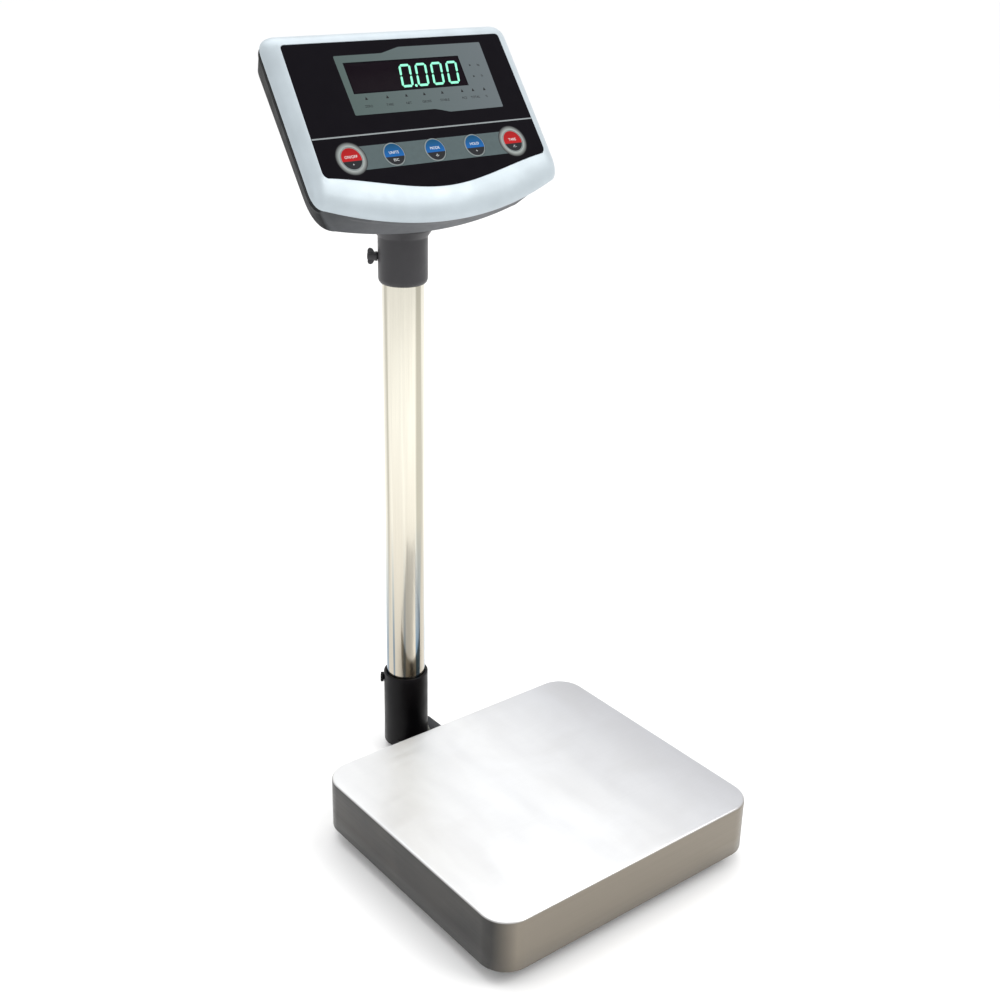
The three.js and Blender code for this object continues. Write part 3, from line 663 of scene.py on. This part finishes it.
def pan_ring(low, high, inset, z):
    x = (high.x - low.x) / 2 / MM - inset
    y = (high.y - low.y) / 2 / MM - inset
    radius = PAN_CORNER - inset
    centre = (low + high) / 2
    ring = []
    for sign_x, sign_y, start in ((1, 1, 0), (-1, 1, 90), (-1, -1, 180), (1, -1, 270)):
        ring += arc(sign_x * (x - radius), sign_y * (y - radius), radius, start, start + 90, 20)
    return [(centre.x + px * MM, centre.y + py * MM, z) for px, py in ring]


def make_pan():
    low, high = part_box("weighing_pan")
    top = high.z / MM
    bottom = low.z / MM
    bend = PAN_BEND
    outer = [(0.3, bottom), (0, bottom + 0.4), (0, bottom + 18), (0, top - bend - 6), (0, top - bend)]
    for step in range(1, 9):
        turn = math.radians(90 * step / 8)
        outer.append((bend - bend * math.cos(turn), top - bend + bend * math.sin(turn)))
    outer.append((bend + 5, top))
    inner_top = top - SHEET
    inner = [
        (bend + 4, inner_top), (bend, inner_top), (SHEET + 0.3, inner_top - 0.9), (SHEET, inner_top - bend),
        (SHEET, bottom + 0.4), (SHEET - 0.3, bottom),
    ]
    rings = [pan_ring(low, high, inset, z * MM) for inset, z in inner + outer]
    settle(skin("pan_sheet", rings, MATERIALS["stainless"], 40), "pan", ["weighing_pan"])


make_pan()


# ---- column, socket and bracket ----


def at_column(height=0.0):
    return Matrix.Translation((COLUMN_AXIS.x, COLUMN_AXIS.y, height))


def node_heights(node):
    low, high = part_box(node)
    return low.z / MM, high.z / MM


def node_radius(node):
    low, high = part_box(node)
    return (high.x - low.x) / 2 / MM


def make_column():
    bottom, top = node_heights("column_tube")
    radius = node_radius("column_tube")
    bore = radius - 1.5
    wall = [(bore, bottom), (radius, bottom), (radius, top), (bore, top)]
    profile = round_corners(wall, 0.4, 3, closed=True)
    tube = turned("column_polished_tube", profile, MATERIALS["polished_stainless"], 128, closed=True)
    settle(tube, "base", ["column_tube"], at_column())


def make_socket():
    bottom, top = node_heights("column_socket")
    radius = node_radius("column_socket")
    bore = node_radius("column_tube") + 0.3
    ledge = bottom + 3.3
    outline = [(16, bottom), (radius, bottom), (radius, top), (bore, top), (bore, ledge), (16, ledge)]
    profile = round_corners(outline, 0.7, 4, closed=True)
    tube = turned("socket_tube", profile, MATERIALS["black_gloss"], 128, closed=True)
    settle(tube, "base", ["column_socket"], at_column())
    make_weld_bead(radius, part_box("column_bracket")[1].z / MM)


def make_weld_bead(radius, height):
    """A rippled fillet of weld round the front and right of the socket's foot, painted over."""
    bm = bmesh.new()
    steps = 150
    section = 8
    rings = []
    for i in range(steps):
        turn = math.radians(-148 + 174 * i / (steps - 1))
        ripple = 0.3 * math.sin(turn * 46) + 0.16 * math.sin(turn * 7 + 1.0)
        size = (2.6 + ripple) * (0.5 if i in (0, steps - 1) else 1)
        ring = []
        for k in range(section):
            lean = TAU * k / section
            reach = radius + 0.5 + size * 0.75 * math.cos(lean)
            rise = height + 0.3 + size * 0.75 * math.sin(lean)
            ring.append(bm.verts.new((reach * MM * math.cos(turn), reach * MM * math.sin(turn), rise * MM)))
        rings.append(ring)
    for a, b in zip(rings, rings[1:]):
        for k in range(section):
            j = (k + 1) % section
            bm.faces.new((a[k], b[k], b[j], a[j]))
    bm.faces.new(rings[0])
    bm.faces.new(rings[-1][::-1])
    bead = from_bmesh("socket_weld", bm, WELD, 80)
    settle(bead, "base", matrix=at_column())


def make_bracket():
    """The plate under the pan: it reaches past the socket on the right, and is notched round it."""
    low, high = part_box("column_bracket")
    front, rear = low.y / MM, high.y / MM
    left, right = low.x / MM, high.x / MM
    axis = COLUMN_AXIS.y / MM
    notch = [(x, axis + y) for x, y in reversed(arc(0, 0, node_radius("column_socket") + 0.6, -152, 32, 30))]
    corner = round_corners([(31, axis - 57.9), (right, axis - 23.9), (right, rear), (19.3, rear)], 3.0, 4)
    outline = [(left, front), (31, front)] + corner[:-1] + notch + [(-20, axis - 23.9), (left, axis - 57.9)]
    plate = bent_bar("bracket_plate", outline, low.z / MM, high.z / MM, MATERIALS["frame_paint"], 0.4)
    settle(plate, "base", ["column_bracket"])


def facing_column(distance, height):
    """Stands a piece drawn along +Z on the screws' side of the column, pointing inwards, its X upwards."""
    up = Vector((0, 0, 1))
    inwards = -SCREW_SIDE
    matrix = Matrix((up, inwards.cross(up), inwards)).transposed().to_4x4()
    matrix.translation = Vector((COLUMN_AXIS.x, COLUMN_AXIS.y, height)) + SCREW_SIDE * distance * MM
    return matrix


def make_socket_screw():
    """A slotted cheese-head screw in the socket's side, painted with it."""
    head = node_radius("column_socket") + 3.3
    tip = head - node_radius("column_tube") - 0.3
    profile = [(0, 0), (5, 0), (5, 3), (3, 3), (3, tip), (0, tip)]
    screw = turned("socket_screw_head", round_corners(profile, 0.5, 3), MATERIALS["black_gloss"], 40)
    slot_cut = bent_bar("slot_cut", rectangle(-6, 6, -0.6, 0.6), -1, 1.3, MATERIALS["black_gloss"], 0)
    carve(screw, [slot_cut])
    place = facing_column(head, middle("socket_screw").z)
    settle(screw, "base", ["socket_screw"], place)


make_column()
make_socket()
make_bracket()
make_socket_screw()


# ---- pole head and its clamp screw ----


COLLAR_RADIUS = 22.2
FLARE_RADIUS = 27.0
KNOB_LENGTH = 9.0


def make_pole_head():
    bottom, _ = node_heights("pole_head")
    pivot = Vector(joint("head_tilt")["pos_m"]).z / MM
    bore = node_radius("column_tube") + 0.3
    ceiling = node_heights("column_tube")[1] + 2
    shoulder = pivot - 34
    profile = [
        (0, ceiling), (bore, ceiling), (bore, bottom), (COLLAR_RADIUS - 2.2, bottom),
        (COLLAR_RADIUS - 0.6, bottom + 1.8), (COLLAR_RADIUS, bottom + 4), (COLLAR_RADIUS, shoulder - 12),
        (FLARE_RADIUS, shoulder - 5), (FLARE_RADIUS, shoulder), (12, shoulder), (0, shoulder),
    ]
    body = turned("collar_body", round_corners(profile, 0.9, 5), MATERIALS["dark_plastic"], 128)
    settle(body, "pole_head", ["pole_head"], at_column())
    tongue = arc(0, pivot, 10, 0, 180, 24) + [(-10, shoulder - 1), (10, shoulder - 1)]
    bar = bent_bar("collar_tongue", tongue, -10, 10, MATERIALS["dark_plastic"], 0.6)
    quarter = math.radians(90)
    stand = at_column() @ Matrix.Rotation(quarter, 4, "Z") @ Matrix.Rotation(quarter, 4, "X")
    settle(bar, "pole_head", matrix=stand)


def make_clamp_screw():
    """A wing screw: a tapered hub with two rounded wings, on a short stud."""
    height = middle("clamp_screw").z
    half = (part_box("clamp_screw")[1].z - height) / MM
    outer = COLLAR_RADIUS + 0.3 + KNOB_LENGTH
    length = outer - node_radius("column_tube") - 0.6
    profile = [(0, 0), (3.2, 0), (4.4, KNOB_LENGTH), (3, KNOB_LENGTH), (3, length), (0, length)]
    hub = turned("clamp_hub", round_corners(profile, 0.6, 4), MATERIALS["dark_plastic"], 48)
    place = facing_column(outer, height)
    settle(hub, "clamp_screw", ["clamp_screw"], place)
    for side, label in ((-1, "low"), (1, "high")):
        outline = [(0, 0.8), (half - 2.2, 0), (half, 1.6), (half - 0.6, 4.6), (4, 6.2), (0, 6.6)]
        outline = round_corners([(side * x, y) for x, y in outline], 1.5, 5, closed=True)
        wing = bent_bar(f"clamp_wing_{label}", outline, -1.3, 1.3, MATERIALS["dark_plastic"], 0.5)
        settle(wing, "clamp_screw", matrix=place @ Matrix.Rotation(math.radians(90), 4, "X"))


make_pole_head()
make_clamp_screw()


# ---- indicator case ----


def cubic(start, first, second, end, steps):
    a, b, c, d = Vector(start), Vector(first), Vector(second), Vector(end)
    points = []
    for i in range(1, steps + 1):
        t = i / steps
        near, far = (1 - t) ** 2, t * t
        points.append(tuple(near * (1 - t) * a + 3 * near * t * b + 3 * (1 - t) * far * c + far * t * d))
    return points


def quadratic(start, control, end, steps):
    a, b, c = Vector(start), Vector(control), Vector(end)
    times = [i / steps for i in range(1, steps + 1)]
    return [tuple((1 - t) ** 2 * a + 2 * t * (1 - t) * b + t * t * c) for t in times]


def straight(start, end, steps):
    a, b = Vector(start), Vector(end)
    return [tuple(a.lerp(b, i / steps)) for i in range(1, steps + 1)]


def mixed(first, second, t):
    return {key: first[key] + (second[key] - first[key]) * t for key in first}


def inset(edge, amount):
    result = dict(edge)
    for key in ("half_top", "half_bottom", "top"):
        result[key] = edge[key] - amount
    for key in ("corner_v", "bottom", "side"):
        result[key] = edge[key] + amount
    return result


def head_outline(edge):
    """The outline shared by the shells and the panel film: straight sides and a bowed lower edge."""
    top, half_top, half_bottom = edge["top"], edge["half_top"], edge["half_bottom"]
    corner, side, corner_v = edge["top_corner"], edge["side"], edge["corner_v"]
    end = half_bottom - edge["corner_inset"]
    start = (half_top - corner, top)
    points = straight(start, (-half_top + corner, top), 12)
    points += quadratic(points[-1], (-half_top, top), (-half_top, top - corner), 14)
    points += straight(points[-1], (-half_bottom, side), 10)
    points += quadratic(points[-1], (-half_bottom, corner_v + 2), (-end, corner_v), 14)
    bottom = edge["bottom"]
    shoulder_v = corner_v + edge["shoulder"] * (bottom - corner_v)
    points += cubic((-end, corner_v), (-end * 2 / 3, shoulder_v), (-end / 3, bottom), (0, bottom), 24)
    points += cubic((0, bottom), (end / 3, bottom), (end * 2 / 3, shoulder_v), (end, corner_v), 24)
    points += quadratic(points[-1], (half_bottom, corner_v + 2), (half_bottom, side), 14)
    points += straight(points[-1], (half_top, top - corner), 10)
    points += quadratic(points[-1], (half_top, top), start, 14)
    return points


def head_ring(edge, w):
    return [(x * MM, y * MM, w * MM) for x, y in head_outline(edge)]


def corner_cut(points, rounds=3):
    """Smooths an open line by cutting its corners, which keeps it inside the original."""
    for _ in range(rounds):
        cut = [points[0]]
        for a, b in zip(points, points[1:]):
            cut.append(tuple(p + (q - p) * 0.25 for p, q in zip(a, b)))
            cut.append(tuple(p + (q - p) * 0.75 for p, q in zip(a, b)))
        cut.append(points[-1])
        points = cut
    return points


def make_front_shell():
    crown = corner_cut([(0, -10.8), (0, -9.7), (0.1, -6.4), (0.34, -2.9), (0.66, -0.8), (0.92, 0)])
    rings = [
        head_ring(inset(OUTER_EDGE, 9), -6.2),
        head_ring(inset(OUTER_EDGE, 4), -7.2),
        head_ring(inset(OUTER_EDGE, 3), SEAM),
        head_ring(inset(OUTER_EDGE, 1.0), SEAM),
        head_ring(inset(OUTER_EDGE, 0.4), SEAM + 0.5),
    ]
    rings += [head_ring(mixed(OUTER_EDGE, PANEL_EDGE, t), w) for t, w in crown]
    rings += [
        head_ring(inset(PANEL_EDGE, -0.45), 0),
        head_ring(inset(PANEL_EDGE, -0.3), -0.2),
        head_ring(inset(PANEL_EDGE, -0.3), -2.0),
    ]
    shell = skin("front_case", rings, MATERIALS["silver_plastic"], 38)
    shell.data.transform(FACE)
    settle(shell, "indicator", ["front_shell"])


def switch_cutter():
    u, v = SWITCH
    half_u, half_v = SWITCH_HALF
    outline = rectangle(u - half_u + 1.4, u + half_u - 1.4, v - half_v + 1.4, v + half_v - 1.4)
    return bent_bar("switch_cut", outline, CASE_REAR - 2, CASE_REAR + 9, MATERIALS["grey_plastic"], 0)


def vent_cutters():
    """A row of short vent slots across the upper back."""
    cutters = []
    for step in range(-5, 6):
        u = step * 9
        ends = arc(u, -24, 1.4, 0, 180, 8) + arc(u, -42, 1.4, 180, 360, 8)
        low, high = CASE_REAR - 1, CASE_REAR + 1.2
        cutters.append(bent_bar("vent_cut", ends, low, high, MATERIALS["grey_plastic"], 0))
    return cutters


SCREW_PLACES = [(-98, -16), (98, -16), (-92, -118), (92, -118)]


def screw_cutters():
    return [
        bent_bar("screw_cut", circle(u, v, 4.4), CASE_REAR - 1, CASE_REAR + 5, MATERIALS["grey_plastic"], 0)
        for u, v in SCREW_PLACES
    ]


def make_back_shell():
    front = SEAM - 0.3
    side = [(REAR_EDGE, 1.5, CASE_REAR), (REAR_EDGE, 1.0, CASE_REAR + 0.4), (REAR_EDGE, 0, CASE_REAR + 1.5)]
    rings = [
        head_ring(inset(OUTER_EDGE, 9), front - 2),
        head_ring(inset(OUTER_EDGE, 3.4), front - 0.6),
        head_ring(inset(OUTER_EDGE, 3.2), front),
        head_ring(inset(OUTER_EDGE, 1.3), front),
        head_ring(inset(OUTER_EDGE, 0.8), front - 0.5),
        head_ring(inset(OUTER_EDGE, 1.0), front - 4.4),
        head_ring(inset(OUTER_EDGE, 1.7), front - 5.6),
    ]
    wide = inset(OUTER_EDGE, 1.7)
    for step in range(1, 6):
        t = step / 6
        rings.append(head_ring(mixed(wide, REAR_EDGE, t), front - 5.6 + (CASE_REAR + 1.5 - front + 5.6) * t))
    rings += [head_ring(inset(edge, amount), w) for edge, amount, w in reversed(side)]
    rings.append(head_ring(inset(REAR_EDGE, 7), CASE_REAR))
    shell = skin("back_case", rings, MATERIALS["grey_plastic"], 30)
    carve(shell, [switch_cutter(), *vent_cutters(), *screw_cutters()])
    shell.data.transform(FACE)
    settle(shell, "indicator", ["back_shell"])


def make_case_screws():
    """Pan-head cross screws, set in the wells of the back case."""
    for number, (u, v) in enumerate(SCREW_PLACES, 1):
        profile = [(0, 0), (2.2, 0.25), (3.6, 1.3), (3.6, 1.9), (0, 1.9)]
        head = turned(f"case_screw_{number}", round_corners(profile, 0.4, 3), MATERIALS["zinc"], 32)
        cross = [
            bent_bar("cross_cut", rectangle(-2, 2, -0.4, 0.4), -1, 1.2, RECESS_PAINTED_SHADE, 0),
            bent_bar("cross_cut", rectangle(-0.4, 0.4, -2, 2), -1, 1.2, RECESS_PAINTED_SHADE, 0),
        ]
        carve(head, cross)
        place = FACE @ Matrix.Translation((u * MM, v * MM, (CASE_REAR + 2.6) * MM))
        settle(head, "indicator", matrix=place)


make_front_shell()
make_back_shell()
make_case_screws()


# ---- front panel: film, window, printing ----


def key_places():
    return [(step * KEY_PITCH, KEY_V) for step in range(-2, 3)]


def make_panel_film():
    low_v, high_v, half = WINDOW["bottom"], WINDOW["top"], WINDOW["half"]
    outlines = [head_outline(PANEL_EDGE)]
    outlines.append(round_corners(rectangle(-half, half, low_v, high_v), 0.8, 4, closed=True))
    outlines += [circle(u, v, KEY_RADIUS + 0.2, 64) for u, v in key_places()]
    material = MATERIALS["panel_film"]
    film = flat_print("panel_film", outlines, material, "indicator", FACE, -FILM, FILM)
    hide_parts("front_panel")


def make_window():
    low_v, high_v, half = WINDOW["bottom"], WINDOW["top"], WINDOW["half"]
    sheet = rectangle(-half + 0.2, half - 0.2, low_v + 0.2, high_v - 0.2)
    outline = round_corners(sheet, 0.8, 4, closed=True)
    lens = bent_bar("window_lens", outline, -1.9, -0.1, MATERIALS["smoked_window"], 0.15)
    settle(lens, "indicator", ["display_window"], FACE)


def ink(name, outlines, material, height=0.0, body="indicator", matrix=None):
    return flat_print(name, outlines, material, body, matrix or FACE, height)


SURROUND = [
    (-65, -12), (-18, -11.8), (-9, -9.5), (0.8, -7), (86.2, -7), (86.1, -68.8), (29.3, -69), (22, -67),
    (15, -65.3), (-64, -65),
]
DIVIDER = dict(v=-82, width=1.2)
BAND = dict(half=74, bottom=-112, top=-91.5)
HALO_RADIUS = 14.4
KEY_HOLE = KEY_RADIUS + 0.2


def make_panel_printing():
    half = WINDOW["half"]
    hole = rectangle(-half - 0.6, half + 0.6, WINDOW["bottom"] - 0.6, WINDOW["top"] + 0.6)
    ink("window_surround", [round_corners(SURROUND, 1.2, 3, closed=True), hole], WINDOW_PRINT)
    line, reach = DIVIDER["v"], DIVIDER["width"] / 2
    edge = film_half_width(line) - 0.1
    ink("divider_line", [rectangle(-edge, edge, line - reach, line + reach)], DIVIDER_PRINT)
    holes = [circle(u, v, KEY_HOLE, 64) for u, v in key_places()[1:4]]
    band = rectangle(-BAND["half"], BAND["half"], BAND["bottom"], BAND["top"])
    ink("key_band", [band, *holes], GREY_PRINT)
    for name, (u, v) in (("left", key_places()[0]), ("right", key_places()[-1])):
        centre = FACE @ Matrix.Translation((u * MM, v * MM, 0))
        rings = [circle(0, 0, HALO_RADIUS, 64), circle(0, 0, KEY_HOLE, 64)]
        ink(f"key_halo_{name}", rings, HALO, 0.01, matrix=centre)


def film_half_width(v):
    """Half the film's width at height v on its straight sides."""
    edge = PANEL_EDGE
    start = edge["top"] - edge["top_corner"]
    t = (start - v) / (start - edge["side"])
    return edge["half_top"] + (edge["half_bottom"] - edge["half_top"]) * t


# Generic state words under the window and units beside it, each with the place of its centre.
STATES = [
    ("ZERO", -48.2, -58), ("TARE", -27.6, -58), ("NET", -8.7, -58), ("GROSS", 9.5, -58),
    ("STABLE", 28.1, -58), ("PCS", 49.0, -57.8), ("TOTAL", 60.6, -57.8), ("%", 72.8, -57.8),
]
UNITS = [("kg", 76, -28), ("lb", 76, -38.5)]
LABEL_SIZE = 3.0
MARK = dict(half=1.4, base=-52.2, tip=-49.4)
UNIT_MARK = dict(half=1.0, base=66.4, tip=68.6)


def make_legends():
    for number, (words, u, v) in enumerate(STATES, 1):
        half, base = MARK["half"], MARK["base"]
        ink(f"mark_{number}", [[(u - half, base), (u + half, base), (u, MARK["tip"])]], DARK_PRINT, INK)
        label(f"legend_{number}", words, u, v)
    for number, (words, u, v) in enumerate(UNITS, 1):
        half, base = UNIT_MARK["half"], UNIT_MARK["base"]
        mark = [(base, v - half), (UNIT_MARK["tip"], v), (base, v + half)]
        ink(f"unit_mark_{number}", [mark], DARK_PRINT, INK)
        label(f"unit_{number}", words, u, v)


def label(name, words, u, v):
    legend(name, words, LABEL_SIZE, u, v, DARK_PRINT, "indicator", FACE, INK)


# The seven bars of a digit, as (x, y) ends on a unit cell 1 wide and 2 high.
BARS = {
    "top": ((0, 2), (1, 2)), "upper_left": ((0, 1), (0, 2)), "upper_right": ((1, 1), (1, 2)),
    "lower_left": ((0, 0), (0, 1)), "lower_right": ((1, 0), (1, 1)), "bottom": ((0, 0), (1, 0)),
}
DIGIT_PLACES = (-1.6, 14.6, 30.6, 46.6)
POINT = (4.9, -42.9)
POINT_RADIUS = 1.25
BEHIND_WINDOW = -0.09
DIGIT = dict(width=9.7, height=18.9, bar=2.1, gap=0.25, slant=math.radians(11), bottom=-42.8)


def bar_outline(start, end, centre_u):
    """A hexagonal bar between two corners of the digit's cell, slanted with the digit."""
    width, height = DIGIT["width"], DIGIT["height"]
    a = Vector(((start[0] - 0.5) * width, start[1] * height / 2))
    b = Vector(((end[0] - 0.5) * width, end[1] * height / 2))
    along = (b - a).normalized()
    across = Vector((-along.y, along.x)) * DIGIT["bar"] / 2
    a += along * DIGIT["gap"]
    b -= along * DIGIT["gap"]
    inner = along * DIGIT["bar"] / 2
    points = [a, a + inner - across, b - inner - across, b, b - inner + across, a + inner + across]
    lean = math.tan(DIGIT["slant"])
    return [(centre_u + p.x + (p.y - height / 2) * lean, DIGIT["bottom"] + p.y) for p in points]


def make_digits():
    for number, centre_u in enumerate(DIGIT_PLACES, 1):
        outlines = [bar_outline(*ends, centre_u) for ends in BARS.values()]
        lit(f"digit_{number}", outlines)
    lit("decimal_point", [circle(*POINT, POINT_RADIUS, 24)])


def lit(name, outlines):
    flat_print(name, outlines, LED, "indicator", FACE, BEHIND_WINDOW, 0.04)


KEY_WORDS = ("ON/OFF", "UNITS", "MODE", "HOLD", "TARE")
KEY_SIGNS = ("+", "ESC", "-0-", "+", "-T-")


def make_keys():
    top, edge = KEY_PROUD, KEY_RADIUS
    profile = round_corners([(0, -0.9), (edge, -0.9), (edge, 0.05), (edge - 1.0, top), (0, top)], 0.3, 4)
    for number, (u, v) in enumerate(key_places(), 1):
        slot = "red_key" if number in (1, 5) else "blue_key"
        cap = turned(f"key_cap_{number}", profile, MATERIALS[slot], 64)
        centre = FACE @ Matrix.Translation((u * MM, v * MM, 0))
        body = f"key_{number}"
        settle(cap, body, [body], centre)
        texts = (("word", KEY_WORDS, 3.4, 1.4), ("sign", KEY_SIGNS, 3.2, -5.2))
        for kind, words, size, y in texts:
            name = f"key_{kind}_{number}"
            legend(name, words[number - 1], size, 0, y, LIGHT_PRINT, body, centre, top)


make_panel_film()
make_window()
make_panel_printing()
make_legends()
make_digits()
make_keys()


# ---- rear fittings, fasteners and feet ----


def round_edges(node, width=0.4, segments=2):
    """Rounds a CAD node's edges with a modifier, which leaves its own mesh alone."""
    piece = NODES[node]
    modifier = piece.modifiers.new("edges", "BEVEL")
    modifier.width = width * MM
    modifier.segments = segments
    modifier.limit_method = "ANGLE"
    modifier.angle_limit = math.radians(40)
    modifier.harden_normals = True


def make_feet():
    for number in range(1, 5):
        pad = f"foot_pad_{number}"
        centre = middle(pad)
        profile = [
            (0, 0), (13.2, 0), (14, 0.8), (14, 3.6), (12.6, 4.6), (9.6, 9.4), (8.8, 10), (6.4, 10), (6.4, 6),
            (0, 6),
        ]
        foot = turned(f"foot_rubber_{number}", round_corners(profile, 0.6, 3), MATERIALS["rubber"], 64)
        settle(foot, f"foot_{number}", [pad], Matrix.Translation((centre.x, centre.y, 0)))
        make_stud(number, centre)


def make_stud(number, centre):
    """A threaded stud with a round collar at its foot."""
    stud = f"foot_stud_{number}"
    bottom, top = node_heights(stud)
    pitch = 1.25
    profile = [(0, bottom), (5.2, bottom), (5.2, bottom + 3), (3.7, bottom + 3)]
    height = bottom + 3.6
    while height < top - pitch:
        profile += [(3.4, height), (4.0, height + pitch / 2)]
        height += pitch
    profile += [(3.4, height), (2.8, top), (0, top)]
    screw = turned(f"foot_thread_{number}", profile, MATERIALS["zinc"], 32, 30)
    settle(screw, f"stud_{number}", [stud], Matrix.Translation((centre.x, centre.y, 0)))


for node_name in ("tilt_bracket", "power_switch_bezel", "power_inlet", "power_rocker", "tilt_pin",
                  "base_rail_left", "base_rail_right", "base_crossmember_front", "base_crossmember_rear",
                  "bracket_bolt_left", "bracket_bolt_right"):
    round_edges(node_name, 0.35)
make_feet()


# ---- floor, light and finish ----


def make_floor():
    mesh = bpy.data.meshes.new("floor")
    bm = bmesh.new()
    bmesh.ops.create_grid(bm, x_segments=1, y_segments=1, size=12)
    bm.to_mesh(mesh)
    bm.free()
    floor = bpy.data.objects.new("floor", mesh)
    shader = Shader("floor_white", srgb(250, 250, 250), 0.9)
    mesh.materials.append(shader.material)
    floor.location = (0, 0, -0.0005)
    bpy.context.scene.collection.objects.link(floor)


def area_light(name, place, target, size, power, color=(1, 1, 1)):
    data = bpy.data.lights.new(name, "AREA")
    data.shape = "RECTANGLE"
    data.size, data.size_y = size
    data.energy = power
    data.color = color
    light = bpy.data.objects.new(name, data)
    light.location = place
    aim = Vector(target) - Vector(place)
    light.rotation_euler = aim.to_track_quat("-Z", "Y").to_euler()
    bpy.context.scene.collection.objects.link(light)


BRIGHT_SIDE = (0.8, 0.6, 0.0)  # the white wall of the studio is behind and to the right of the scale


def make_studio():
    world = bpy.data.worlds.new("studio")
    world.use_nodes = True
    tree = world.node_tree
    background = tree.nodes["Background"]
    background.inputs["Color"].default_value = (1, 1, 1, 1)
    towards = tree.nodes.new("ShaderNodeVectorMath")
    towards.operation = "DOT_PRODUCT"
    towards.inputs[1].default_value = BRIGHT_SIDE
    tree.links.new(tree.nodes.new("ShaderNodeTexCoord").outputs["Generated"], towards.inputs[0])
    strength = tree.nodes.new("ShaderNodeMapRange")
    strength.inputs["From Min"].default_value = -1
    strength.inputs["From Max"].default_value = 0.0
    strength.inputs["To Min"].default_value = 0.8
    strength.inputs["To Max"].default_value = 1.12
    tree.links.new(towards.outputs["Value"], strength.inputs["Value"])
    tree.links.new(strength.outputs["Result"], background.inputs["Strength"])
    bpy.context.scene.world = world
    bpy.context.scene.view_settings.view_transform = "Standard"
    area_light("key_light", (1.2, -1.6, 2.2), (0, 0, 0.25), (1.6, 1.2), 26, (1.0, 0.985, 0.96))
    area_light("top_light", (0.1, 0.6, 2.3), (0, 0, 0.1), (2.2, 1.6), 18)
    area_light("left_light", (-1.9, -0.9, 1.3), (0, 0, 0.4), (1.2, 1.6), 4, (0.95, 0.975, 1.0))


make_floor()
make_studio()
